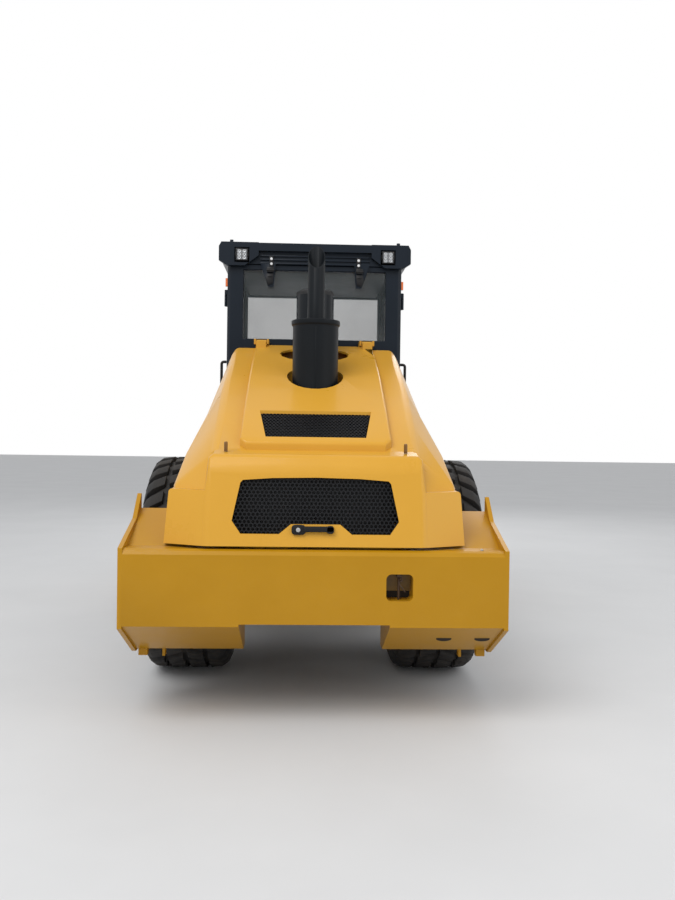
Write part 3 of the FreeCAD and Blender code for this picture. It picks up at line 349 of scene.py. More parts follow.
# Modelling helpers
Profile = Sequence[tuple[float, float]]
Point = Sequence[float]
SIDES = (-1, 1)
ACROSS = (1, 0, 0)
UP = (0, 0, 1)
WELD = 0.00005
BEND_STEPS = 5
# A bolt's washer and the rounding of its head, as shares of the head's own radius and height
WASHER_WIDTH = 1.35
WASHER_HEIGHT = 0.25
HEAD_ROUNDING = 0.12


def mirrored(profile: Profile, side: int) -> Profile:
    """A profile of (along, radius) pairs for the left (-1) or right (1) side."""
    return [(along * side, radius) for along, radius in profile]


def new_vertices(bm: bmesh.types.BMesh, before: set[bmesh.types.BMVert]) -> list[bmesh.types.BMVert]:
    """The vertices that a mesh has gained."""
    return [v for v in bm.verts if v not in before]


def edges_of(parts: Iterable[bmesh.types.BMVert]) -> list[bmesh.types.BMEdge]:
    """All edges at some vertices, each once."""
    return list({e for v in parts for e in v.link_edges})


def round_edges(bm: bmesh.types.BMesh, edges: list[bmesh.types.BMEdge], width: float, segments: int = 2,
                clamp: bool = False) -> None:
    """Rounds edges.

    Args:
        bm: the mesh.
        edges: its edges to round.
        width: width of the rounding.
        segments: segments of the rounding.
        clamp: whether the width gives way where edges come close.
    """
    bmesh.ops.bevel(bm, geom=edges, offset=width, offset_type="OFFSET", segments=segments, affect="EDGES",
                    profile=0.5, material=-1, clamp_overlap=clamp)


class Workpiece:
    """One mesh being built from bmesh operators."""

    def __init__(self, name: str) -> None:
        """Starts an empty mesh for the piece of this name."""
        self.name = name
        self.bm = bmesh.new()

    def block(self, low: Point, high: Point, bevel: float = 0.0, segments: int = 2,
              turn: Matrix | None = None) -> None:
        """Adds a block between two corners, with its edges rounded.

        Args:
            low: lowest corner.
            high: highest corner.
            bevel: width of the rounding.
            segments: segments of the rounding.
            turn: rotation about the block's own middle.
        """
        a, b = Vector(low), Vector(high)
        matrix = Matrix.Translation((a + b) / 2)
        if turn is not None:
            matrix = matrix @ turn.to_4x4()
        matrix = matrix @ Matrix.Diagonal((*(b - a), 1.0))
        made = bmesh.ops.create_cube(self.bm, size=1.0, matrix=matrix)["verts"]
        if bevel:
            round_edges(self.bm, edges_of(made), bevel, segments)

    def around(self, x: float, y: Point, z: float, half: Point, bevel: float = 0.0) -> None:
        """Adds a block about a point of the plane across the machine.

        Args:
            x: its middle.
            y: both ends along the machine, in any order.
            z: its middle height.
            half: half of its width and of its height.
            bevel: width of the rounding.
        """
        self.block((x - half[0], min(y), z - half[1]), (x + half[0], max(y), z + half[1]), bevel)

    def rod(self, start: Point, end: Point, r: float, r_end: float | None = None,
            sides: int = 20, bevel: float = 0.0) -> list[bmesh.types.BMVert]:
        """Adds a round bar or cone between two points.

        Args:
            start: one end's centre.
            end: the other end's centre.
            r: radius at the start.
            r_end: radius at the end.
            sides: sides of the section.
            bevel: rounding of the end rims.

        Returns:
            The bar's vertices before rounding.
        """
        a, b = Vector(start), Vector(end)
        axis = b - a
        matrix = Matrix.Translation((a + b) / 2) @ axis.to_track_quat("Z", "Y").to_matrix().to_4x4()
        made = bmesh.ops.create_cone(self.bm, cap_ends=True, segments=sides, radius1=r,
                                     radius2=r if r_end is None else r_end, depth=axis.length, matrix=matrix)["verts"]
        if bevel:
            caps = [f for f in {f for v in made for f in v.link_faces} if len(f.verts) > 4]
            round_edges(self.bm, list({e for f in caps for e in f.edges}), bevel)
        return made

    def turned(self, profile: Profile, start: Point, axis: Point = ACROSS, steps: int = 48,
               closed: bool = False) -> None:
        """Adds a body turned from a line of (along, radius) pairs.

        Args:
            profile: the line, as distance along the axis and radius.
            start: origin of the axis.
            axis: direction of the axis.
            steps: steps round the axis.
            closed: whether the line closes on itself.
        """
        a, n = Vector(start), Vector(axis).normalized()
        side = n.orthogonal().normalized()
        before = set(self.bm.verts)
        verts = [self.bm.verts.new(a + n * along + side * radius) for along, radius in profile]
        pairs = list(zip(verts[:-1], verts[1:])) + ([(verts[-1], verts[0])] if closed else [])
        edges = [self.bm.edges.new(pair) for pair in pairs]
        bmesh.ops.spin(self.bm, geom=verts + edges, cent=a, axis=n, angle=math.tau, steps=steps)
        bmesh.ops.remove_doubles(self.bm, verts=new_vertices(self.bm, before), dist=WELD)

    def plate(self, points: Sequence[Point], depth: Point, bevel: float = 0.0) -> list[bmesh.types.BMVert]:
        """Adds a plate: a flat outline pushed along a vector.

        Args:
            points: corners of the outline.
            depth: the push.
            bevel: rounding of its edges.

        Returns:
            The plate's vertices before rounding.
        """
        verts = [self.bm.verts.new(p) for p in points]
        made = bmesh.ops.extrude_face_region(self.bm, geom=[self.bm.faces.new(verts)])["geom"]
        moved = [v for v in made if isinstance(v, bmesh.types.BMVert)]
        bmesh.ops.translate(self.bm, verts=moved, vec=Vector(depth))
        if bevel:
            round_edges(self.bm, edges_of(verts + moved), bevel)
        return verts + moved

    def pipe(self, points: Sequence[Point], r: float, sides: int = 14, bend: float = 0.03) -> None:
        """Adds a round pipe along points, with rounded corners.

        Args:
            points: the corners of its middle line.
            r: radius of the pipe.
            sides: sides of the section.
            bend: how far each corner is cut back.
        """
        path = [Vector(points[0])]
        for before, corner, after in zip(points[:-2], points[1:-1], points[2:]):
            b, c, a = Vector(before), Vector(corner), Vector(after)
            start, end = c + (b - c).normalized() * bend, c + (a - c).normalized() * bend
            for t in (k / BEND_STEPS for k in range(BEND_STEPS + 1)):
                path.append(start * (1 - t) ** 2 + c * 2 * t * (1 - t) + end * t ** 2)
        path.append(Vector(points[-1]))
        tangent = (path[1] - path[0]).normalized()
        turn = tangent.to_track_quat("Z", "Y")
        rings = []
        last = len(path) - 1
        for k, place in enumerate(path):
            ahead = (path[min(k + 1, last)] - path[max(k - 1, 0)]).normalized()
            turn = tangent.rotation_difference(ahead) @ turn
            tangent = ahead
            matrix = Matrix.Translation(place) @ turn.to_matrix().to_4x4()
            rings.append(edges_of(bmesh.ops.create_circle(self.bm, cap_ends=k in (0, last), segments=sides, radius=r,
                                                          matrix=matrix)["verts"]))
        for a, b in zip(rings[:-1], rings[1:]):
            bmesh.ops.bridge_loops(self.bm, edges=a + b)

    def hexagon(self, centre: Point, axis: Point, r: float, height: float) -> None:
        """Adds a bolt head with its washer, standing on a face.

        Args:
            centre: middle of the seat.
            axis: the way the head stands.
            r: radius across the corners.
            height: height of the head.
        """
        c, n = Vector(centre), Vector(axis).normalized()
        seat = c + n * height * WASHER_HEIGHT
        self.rod(c, seat, r * WASHER_WIDTH, sides=16)
        self.rod(seat, c + n * height, r, sides=6, bevel=r * HEAD_ROUNDING)

    def bolt_circle(self, centre: Point, axis: Point, ring: float, count: int, r: float, height: float) -> None:
        """Adds bolts evenly round a circle.

        Args:
            centre: centre of the circle.
            axis: the way the heads stand.
            ring: radius of the circle.
            count: how many bolts.
            r: radius of a head.
            height: height of a head.
        """
        c, n = Vector(centre), Vector(axis).normalized()
        side = n.orthogonal().normalized()
        for k in range(count):
            self.hexagon(c + Matrix.Rotation(math.tau * k / count, 3, n) @ side * ring, n, r, height)

    def finish(self, finish: Finish | GlassFinish, body: Body = Body.FRAME, stands_for: str = "",
               smooth: float = 35.0) -> bpy.types.Object:
        """Turns the mesh into a piece that rides on a body.

        Args:
            finish: the surface finish.
            body: the body it rides on.
            stands_for: the CAD node that it replaces, if any.
            smooth: edges sharper than this stay crisp, in degrees.

        Returns:
            The new object.
        """
        bmesh.ops.recalc_face_normals(self.bm, faces=self.bm.faces[:])
        for face in self.bm.faces:
            face.smooth = True
        for edge in self.bm.edges:
            if len(edge.link_faces) == 2 and edge.calc_face_angle(0.0) > math.radians(smooth):
                edge.smooth = False
        mesh = bpy.data.meshes.new(self.name)
        self.bm.to_mesh(mesh)
        self.bm.free()
        piece = bpy.data.objects.new(self.name, mesh)
        bpy.context.scene.collection.objects.link(piece)
        mesh.materials.append(finish.make())
        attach(piece, body.value)
        if stands_for:
            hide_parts(stands_for)
        LOG.info("piece %s: %d faces", self.name, len(mesh.polygons))
        return piece


def slab(name: str, finish: Finish, low: Point, high: Point, bevel: float = 0.0) -> None:
    """Adds a piece of the rear frame that is one block.

    Args:
        name: the piece's name.
        finish: its finish.
        low: lowest corner, with y ahead of the rear face.
        high: highest corner, likewise.
        bevel: width of the rounding.
    """
    work = Workpiece(name)
    work.block((low[0], at(low[1]), low[2]), (high[0], at(high[1]), high[2]), bevel)
    work.finish(finish)


@dataclass(frozen=True)
class Ridge:
    """A chain of sharp edges with a wide rounding, mirrored on the machine's other side."""

    points: Sequence[tuple[float, float, float]]
    width: float
    convex: bool = True
    reach: float = 0.004
    least_angle: float = 8.0
    least_length: float = 0.006

    def near(self, place: Vector) -> bool:
        """Says whether a point lies on the chain.

        Args:
            place: the point.

        Returns:
            Whether it does, on either side of the machine.
        """
        spot = Vector((abs(place.x), place.y, place.z))
        chain = [Vector((x, at(d), z)) for x, d, z in self.points]
        for start, end in zip(chain, chain[1:]):
            along = end - start
            share = min(1.0, max(0.0, (spot - start).dot(along) / along.length_squared))
            if (start + along * share - spot).length < self.reach:
                return True
        return False

    def holds(self, edge: bmesh.types.BMEdge) -> bool:
        """Says whether an edge is sharp and lies on the chain.

        Args:
            edge: the edge.

        Returns:
            Whether it takes the ridge's rounding.
        """
        if len(edge.link_faces) != 2 or edge.calc_length() < self.least_length or edge.is_convex != self.convex:
            return False
        a, b = (v.co for v in edge.verts)
        return (edge.calc_face_angle(0.0) >= math.radians(self.least_angle)
                and all(self.near(place) for place in (a, (a + b) / 2, b)))


@dataclass(frozen=True)
class SoftenedNode:
    """A copy of a rigid node whose sharp edges are rounded as on the real casting or sheet.

    Faces with more area than wide lead the shading of small faces beside them that are turned less than
    about 32 degrees, whose cosine is alike. The rooms say how much space a rounding needs, in its own widths.
    """

    node: str
    body: Body
    width: float
    broad: float = 0.0
    ridges: Sequence[Ridge] = ()
    curve: float = 12.0
    angle: float = 28.0
    bare: float = 0.03
    shortest: float = 0.0002
    wide: float = 0.0015
    alike: float = 0.848
    leads_by: float = 6.0
    broad_room: float = 3.0
    fine_room: float = 2.2
    slim_room: float = 1.2

    def edge_sets(self, bm: bmesh.types.BMesh) -> tuple[list[bmesh.types.BMEdge], list[bmesh.types.BMEdge]]:
        """Sorts the sharp edges.

        Args:
            bm: the merged mesh.

        Returns:
            Broad outer edges, and all other sharp edges.
        """
        broad, fine = [], []
        for edge in bm.edges:
            length = edge.calc_length()
            if (len(edge.link_faces) != 2 or edge.calc_face_angle(0.0) < math.radians(self.angle)
                    or length < self.shortest):
                continue
            slim = min(face.calc_area() / length for face in edge.link_faces)
            if self.broad and edge.is_convex and length > self.broad * self.broad_room and slim > self.bare:
                broad.append(edge)
            elif length > self.width * self.fine_room and slim > self.width * self.slim_room:
                fine.append(edge)
        return broad, fine

    def build(self) -> None:
        """Copies the node, merges it and rounds its edges."""
        work = Workpiece(self.node + "_body")
        bm = work.bm
        bm.from_mesh(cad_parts[self.node].data)
        bmesh.ops.remove_doubles(bm, verts=bm.verts[:], dist=WELD)
        bmesh.ops.dissolve_limit(bm, angle_limit=math.radians(0.6), verts=bm.verts[:], edges=bm.edges[:],
                                 use_dissolve_boundaries=False)
        for ridge in self.ridges:
            round_edges(bm, [edge for edge in bm.edges if ridge.holds(edge)], ridge.width, 6)
            bmesh.ops.remove_doubles(bm, verts=bm.verts[:], dist=self.shortest)
        broad = self.edge_sets(bm)[0]
        if broad:
            round_edges(bm, broad, self.broad, 4, clamp=True)
        round_edges(bm, self.edge_sets(bm)[1], self.width, clamp=True)
        piece = work.finish(CAD_FINISHES[self.node], self.body, self.node, smooth=32)
        self.even_shading(piece.data)

    def even_shading(self, mesh: bpy.types.Mesh) -> None:
        """Keeps large sheets even in shading and turns the light only along their roundings.

        Args:
            mesh: the piece's mesh.
        """
        around: dict[int, list[bpy.types.MeshPolygon]] = {}
        for polygon in mesh.polygons:
            for vertex in polygon.vertices:
                around.setdefault(vertex, []).append(polygon)
        least = math.cos(math.radians(self.curve))
        normals = [Vector((0.0, 0.0, 0.0))] * len(mesh.loops)
        for polygon in mesh.polygons:
            for loop, vertex in zip(polygon.loop_indices, polygon.vertices):
                near = [other for other in around[vertex] if other.normal.dot(polygon.normal) > self.alike]
                lead = max(near, key=lambda other: other.area, default=polygon)
                if lead.area < max(self.wide, self.leads_by * polygon.area) and polygon.area < self.wide:
                    chosen = near
                else:
                    lead = lead if polygon.area < self.wide else polygon
                    chosen = [other for other in around[vertex]
                              if other.area > self.wide and other.normal.dot(lead.normal) > least]
                mean = sum((other.normal * other.area for other in chosen), lead.normal * 0.000001)
                normals[loop] = mean.normalized()
        mesh.normals_split_custom_set(normals)


HOOD_RIDGES = (
    Ridge(((0.622, 0.02, 1.034), (0.622, 0.091, 1.345), (0.622, 0.12, 1.47), (0.622, 0.156, 1.528), (0.6, 0.17, 1.55),
           (0.0, 0.17, 1.55)), 0.022),
    Ridge(((0.622, 0.12, 1.47), (0.0, 0.12, 1.47)), 0.03),
    Ridge(((0.64, 0.1, 1.345), (0.852, 0.203, 1.345), (0.852, 0.76, 1.345)), 0.02),
    Ridge(((0.598, 0.3, 1.573), (0.605, 0.6, 1.745), (0.62, 1.2, 2.045), (0.616, 1.536, 2.192), (0.621, 1.883, 2.328),
           (0.616, 1.925, 2.345)), 0.034),
    Ridge(((0.85, 0.3, 1.345), (0.822, 0.6, 1.52), (0.76, 1.2, 1.776), (0.705, 1.925, 1.996)), 0.03),
    Ridge(((0.0, 0.3, 1.62), (0.415, 0.3, 1.62), (0.455, 0.34, 1.65), (0.455, 0.637, 1.821), (0.455, 1.14, 2.077),
           (0.455, 1.65, 2.28), (0.455, 1.925, 2.37)), 0.016),
)
RECESS_RIDGES = tuple(
    Ridge(((x, 0.0, z), (x, 0.12, z)), 0.01, convex=False)
    for x, z in ((0.536, 0.734), (0.42, 0.734), (0.402, 0.752), (0.554, 0.752), (0.554, 0.868), (0.536, 0.886),
                 (0.42, 0.886), (0.402, 0.868)))
SOFTENED = (
    SoftenedNode("counterweight", Body.FRAME, 0.004, broad=0.018, ridges=RECESS_RIDGES),
    SoftenedNode("hood_shell", Body.HOOD, 0.003, broad=0.018, ridges=HOOD_RIDGES, curve=24.0),
    SoftenedNode("cab_frame", Body.FRAME, 0.005, broad=0.012),
    SoftenedNode("cab_roof", Body.FRAME, 0.006, broad=0.014),
    SoftenedNode("left_door", Body.LEFT_DOOR, 0.005),
    SoftenedNode("right_door", Body.RIGHT_DOOR, 0.005),
    SoftenedNode("platform", Body.FRAME, 0.005),
    SoftenedNode("side_tanks", Body.FRAME, 0.006, broad=0.016),
    SoftenedNode("access_steps", Body.FRAME, 0.003),
    SoftenedNode("bay_walls", Body.FRAME, 0.002),
    SoftenedNode("rear_chassis", Body.FRAME, 0.004),
    SoftenedNode("engine_block", Body.FRAME, 0.008, broad=0.02),
    SoftenedNode("cooler", Body.FRAME, 0.006),
    SoftenedNode("console", Body.FRAME, 0.008, broad=0.02),
    SoftenedNode("centre_hitch", Body.HITCH, 0.004),
    SoftenedNode("drum_frame", Body.DRUM_FRAME, 0.006, broad=0.014),
    SoftenedNode("drum_scrapers", Body.DRUM_FRAME, 0.003),
    SoftenedNode("hood_hinges", Body.FRAME, 0.002),
)


# Wheels and drum
@dataclass(frozen=True)
class WheelSet:
    """A lugged tyre on its rim, with the wheel nuts and the hub cover of the final drive."""

    name: str
    side: int
    body: Body
    radius: float = 0.75
    lug_height: float = 0.026
    lug_slant: float = 0.55
    lug_flare: float = 0.2
    lug_rounding: float = 0.005
    lug_sink: float = 0.0004
    least_edge: float = 0.018
    inner_length: float = 0.088
    outer_length: float = 0.084
    rim_radius: float = 0.335
    centre_x: float = 0.847
    axle: float = 1.43
    lugs: int = 16

    def centre(self) -> Vector:
        """Middle of the wheel."""
        return Vector((self.side * self.centre_x, at(self.axle), self.radius))

    def carcass(self) -> Profile:
        """Works out the tyre's section.

        Returns:
            The line from bead to bead over the tread, as distance along the axle and radius.
        """
        tread = self.radius - self.lug_height - 0.002
        r = self.radius
        half = [(0.19, self.rim_radius - 0.004), (0.216, self.rim_radius + 0.001), (0.236, 0.352), (0.252, 0.39),
                (0.264, 0.428), (0.276, 0.475), (0.284, 0.52), (0.2885, 0.555), (0.2885, 0.585), (0.284, 0.612),
                (0.270, r - 0.106), (0.250, r - 0.076), (0.218, r - 0.050), (0.15, tread - 0.006), (0.06, tread)]
        return mirrored(half, -1) + half[::-1]

    def lug(self, work: Workpiece, section: Profile, length: float, hand: int, angle: float) -> None:
        """Adds one slanted tread block with rounded edges.

        Args:
            work: the tyre's workpiece.
            section: side view of the block, as distance from the tyre's middle and radius.
            length: its length round the tyre.
            hand: which half of the tread it lies on.
            angle: its place round the axle, in radians.
        """
        bm = work.bm
        before = set(bm.verts)
        middle = sum(x for x, _ in section) / len(section)
        verts = work.plate([(hand * x, -length / 2 - self.lug_slant * (x - middle), r) for x, r in section],
                           (0, length, 0))
        for v in verts:
            flare = (self.radius - v.co.z) * self.lug_flare
            v.co.y += flare if v.co.y > -self.lug_slant * (abs(v.co.x) - middle) else -flare
        round_edges(bm, [e for e in edges_of(verts) if e.calc_length() > self.least_edge], self.lug_rounding)
        fresh = new_vertices(bm, before)
        for v in fresh:
            excess = math.hypot(v.co.y, v.co.z) / (self.radius - self.lug_sink)
            if excess > 1:
                v.co.y /= excess
                v.co.z /= excess
        bmesh.ops.transform(bm, matrix=Matrix.Rotation(angle, 4, "X"), verts=fresh)

    def tyre(self) -> None:
        """Builds the tyre with its lugs and bead rings."""
        work = Workpiece(self.name + "_lugged_tyre")
        r = self.radius
        inner = [(0.016, r - 0.05), (0.016, r - 0.0008), (0.120, r - 0.0015), (0.120, r - 0.05)]
        outer = [(0.148, r - 0.06), (0.148, r - 0.003), (0.226, r - 0.0095), (0.262, r - 0.036),
                 (0.291, r - 0.108), (0.264, r - 0.150)]
        for hand, lag in ((-1, 0.0), (1, 0.5)):
            for k in range(self.lugs * 2):
                self.lug(work, inner, self.inner_length, hand, math.pi * (k + lag) / self.lugs)
                self.lug(work, outer, self.outer_length, hand, math.pi * (k + lag + 0.5) / self.lugs)
        bmesh.ops.translate(work.bm, verts=work.bm.verts[:], vec=self.centre())
        work.turned(self.carcass(), self.centre(), steps=96, closed=True)
        for radius, x in ((0.47, 0.2755), (0.50, 0.281)):
            for s in SIDES:
                work.turned(mirrored(((x - 0.004, radius - 0.005), (x + 0.004, radius), (x, radius + 0.006)), s),
                            self.centre(), steps=96, closed=True)
        work.finish(RUBBER, self.body, self.name + "_tyre", smooth=38)

    def rim(self) -> None:
        """Builds the rim, its disc, the hub cover, nuts and the valve."""
        work = Workpiece(self.name + "_wheel_rim")
        c, s, r = self.centre(), self.side, self.rim_radius
        edge = [(0.212, r - 0.0005), (0.226, r + 0.001), (0.234, r + 0.012), (0.242, r + 0.016), (0.245, r + 0.012),
                (0.242, r - 0.004), (0.238, r - 0.024), (0.20, r - 0.034), (0.16, r - 0.05)]
        work.turned(mirrored(edge, -1) + edge[::-1], c, steps=96, closed=True)
        disc = [(0.008, 0.0), (0.008, 0.286), (0.032, 0.286), (0.032, 0.20), (0.034, 0.15), (0.038, 0.127),
                (0.16, 0.124), (0.168, 0.116), (0.17, 0.10), (0.17, 0.0)]
        for profile in (disc, [(-0.1895, 0.0), (-0.1895, 0.149), (0.01, 0.149)]):
            work.turned(mirrored(profile, s), c, steps=64)
        work.finish(RIM, self.body, self.name + "_rim")
        nuts = Workpiece(self.name + "_wheel_nuts")
        nuts.bolt_circle(c + Vector((0.033 * s, 0, 0)), (s, 0, 0), 0.19, 10, 0.016, 0.026)
        nuts.bolt_circle(c + Vector((0.1702 * s, 0, 0)), (s, 0, 0), 0.085, 8, 0.008, 0.008)
        nuts.rod(c + Vector((0.03 * s, 0, 0.262)), c + Vector((0.075 * s, 0, 0.272)), 0.005, sides=10)
        nuts.finish(BOLT, self.body)

    def build(self) -> None:
        """Builds the whole wheel."""
        self.tyre()
        self.rim()


@dataclass(frozen=True)
class DrumModule:
    """Smooth drum with its end discs, vibration carriers, mounts and the bolts of the frame."""

    radius: float = 0.77
    half: float = 1.065
    wall: float = 0.03
    station: float = 4.48
    disc: float = 0.83
    plug_ring: float = 0.52

    def centre(self, x: float = 0.0) -> Vector:
        """Middle of the drum, or a point of its axis x to the right."""
        return Vector((x, at(self.station), self.radius))

    def drum(self) -> None:
        """Builds the shell, the recessed discs, the stub axles and the discs' bolts and plugs."""
        work = Workpiece("drum_shell")
        r, h, w, d = self.radius, self.half, self.wall, self.disc
        end = [(d, r - w), (h - 0.003, r - w), (h, r - w + 0.003), (h, r - 0.004), (h - 0.004, r - 0.0006),
               (h - 0.012, r - 0.0002)]
        work.turned(mirrored(end, -1) + end[::-1], self.centre(), steps=160)
        face = [(0.80, 0.0), (0.80, r - w), (d, r - w), (d, 0.215), (0.842, 0.205), (0.862, 0.2),
                (0.862, 0.092), (0.87, 0.09), (0.93, 0.09), (0.93, 0.0)]
        for s in SIDES:
            work.turned(mirrored(face, s), self.centre(), steps=96)
        work.finish(DRUM_STEEL, Body.DRUM, "drum", smooth=30)
        bolts = Workpiece("drum_disc_bolts")
        for s in SIDES:
            bolts.bolt_circle(self.centre(0.8622 * s), (s, 0, 0), 0.175, 12, 0.013, 0.014)
            for k in range(4):
                turn = Matrix.Rotation(math.tau * (k + 0.5) / 4, 3, "X")
                spot = self.centre(d * s) + turn @ Vector((0, 0, self.plug_ring))
                bolts.rod(spot, spot + Vector((0.012 * s, 0, 0)), 0.045, 0.042, sides=24)
        bolts.finish(BOLT, Body.DRUM)

    def carriers(self) -> None:
        """Rebuilds the round carriers and rubber mounts with their bolts."""
        work, mounts = Workpiece("vibration_carriers"), Workpiece("rubber_mounts")
        bolts = Workpiece("mount_bolts")
        plate = [(0.881, 0.092), (0.881, 0.144), (0.886, 0.148), (0.995, 0.148), (1.0, 0.16), (1.0, 0.284),
                 (1.003, 0.287), (1.017, 0.287), (1.0195, 0.284), (1.0195, 0.0), (0.961, 0.0), (0.961, 0.0905)]
        puck = [(1.0205, 0.0), (1.0205, 0.044), (1.026, 0.046), (1.034, 0.0405), (1.0525, 0.036), (1.071, 0.0405),
                (1.079, 0.046), (1.0845, 0.044), (1.0845, 0.0)]
        for s in SIDES:
            work.turned(mirrored(plate, s), self.centre(), steps=72)
            for k in range(8):
                mid = self.centre() + Matrix.Rotation(math.radians(22.5 + 45 * k), 3, "X") @ Vector((0, 0.22, 0))
                mounts.turned(mirrored(puck, s), mid, steps=32)
                bolts.hexagon((0.9995 * s, mid.y, mid.z), (-s, 0, 0), 0.014, 0.014)
        work.finish(SHADED_YELLOW, Body.DRUM_FRAME, "drum_carriers")
        mounts.finish(SOFT_RUBBER, Body.DRUM_FRAME, "drum_isolators")
        bolts.finish(BOLT, Body.DRUM_FRAME)

    def frame_details(self) -> None:
        """Adds the scrapers' clamps, bolts and rubber edges."""
        bolts, clamps = Workpiece("drum_frame_bolts"), Workpiece("scraper_clamps")
        for x in (-0.96, -0.6, -0.2, 0.2, 0.6, 0.96):
            for ends in ((3.6205, 3.655), (5.305, 5.3395)):
                clamps.around(x, [at(d) for d in ends], 0.74, (0.035, 0.012), 0.003)
                bolts.hexagon((x, at(sum(ends) / 2), 0.752), UP, 0.011, 0.01)
        rubbers = Workpiece("scraper_edges")
        reach = math.sqrt((self.radius + 0.0045) ** 2 - 0.05 ** 2)
        for s in SIDES:
            ends = [at(self.station) + s * (reach + gap) for gap in (0.002, 0.026)]
            rubbers.around(0, ends, 0.7089, (1.038, 0.0029), 0.001)
        bolts.finish(BOLT, Body.DRUM_FRAME)
        clamps.finish(CHASSIS, Body.DRUM_FRAME)
        rubbers.finish(SOFT_RUBBER, Body.DRUM_FRAME)

    def build(self) -> None:
        """Builds the whole drum module."""
        self.drum()
        self.carriers()
        self.frame_details()


# Hood with everything on it
@dataclass(frozen=True)
class HexSheet:
    """A perforated sheet: hexagonal holes in staggered rows."""

    name: str
    width: float
    height: float
    pitch: float = 0.0245
    web: float = 0.003
    thickness: float = 0.0025

    def build(self, matrix: Matrix, keep: Callable[[float, float], bool]) -> None:
        """Builds the sheet in its own plane and moves it into place.

        Args:
            matrix: turns the sheet's plane into the machine's frame.
            keep: says whether a cell at (x, y) of the sheet is wanted.
        """
        work = Workpiece(self.name)
        bm = work.bm
        rise = self.pitch * math.sqrt(3) / 2
        columns = int(self.width / self.pitch) + 1
        rows = int(self.height / rise) // 2 + 1
        start = Vector((-(columns - 1) * self.pitch / 2, -(rows - 0.5) * rise, 0))
        for shift in (Vector((0, 0, 0)), Vector((self.pitch / 2, rise, 0))):
            turn = Matrix.Translation(start + shift) @ Matrix.Rotation(math.radians(30), 4, "Z")
            bmesh.ops.create_circle(bm, cap_ends=True, segments=6, radius=self.pitch / math.sqrt(3), matrix=turn)
        cells = bm.faces[:]
        bmesh.ops.inset_individual(bm, faces=cells, thickness=self.web)
        bmesh.ops.delete(bm, geom=cells, context="FACES_ONLY")
        for step, count in (((self.pitch, 0, 0), columns), ((0, 2 * rise, 0), rows)):
            bmesh.ops.spin(bm, geom=bm.faces[:], cent=(0, 0, 0), axis=UP, dvec=step, angle=0.0, steps=count - 1,
                           use_duplicate=True)
        gone = [f for f in bm.faces if not keep(*f.calc_center_median().xy)]
        bmesh.ops.delete(bm, geom=gone, context="FACES")
        bmesh.ops.remove_doubles(bm, verts=bm.verts[:], dist=0.0004)
        bmesh.ops.solidify(bm, geom=bm.faces[:], thickness=self.thickness)
        bmesh.ops.transform(bm, matrix=matrix, verts=bm.verts[:])
        work.finish(MESH_BLACK, Body.HOOD, "grilles", smooth=50)


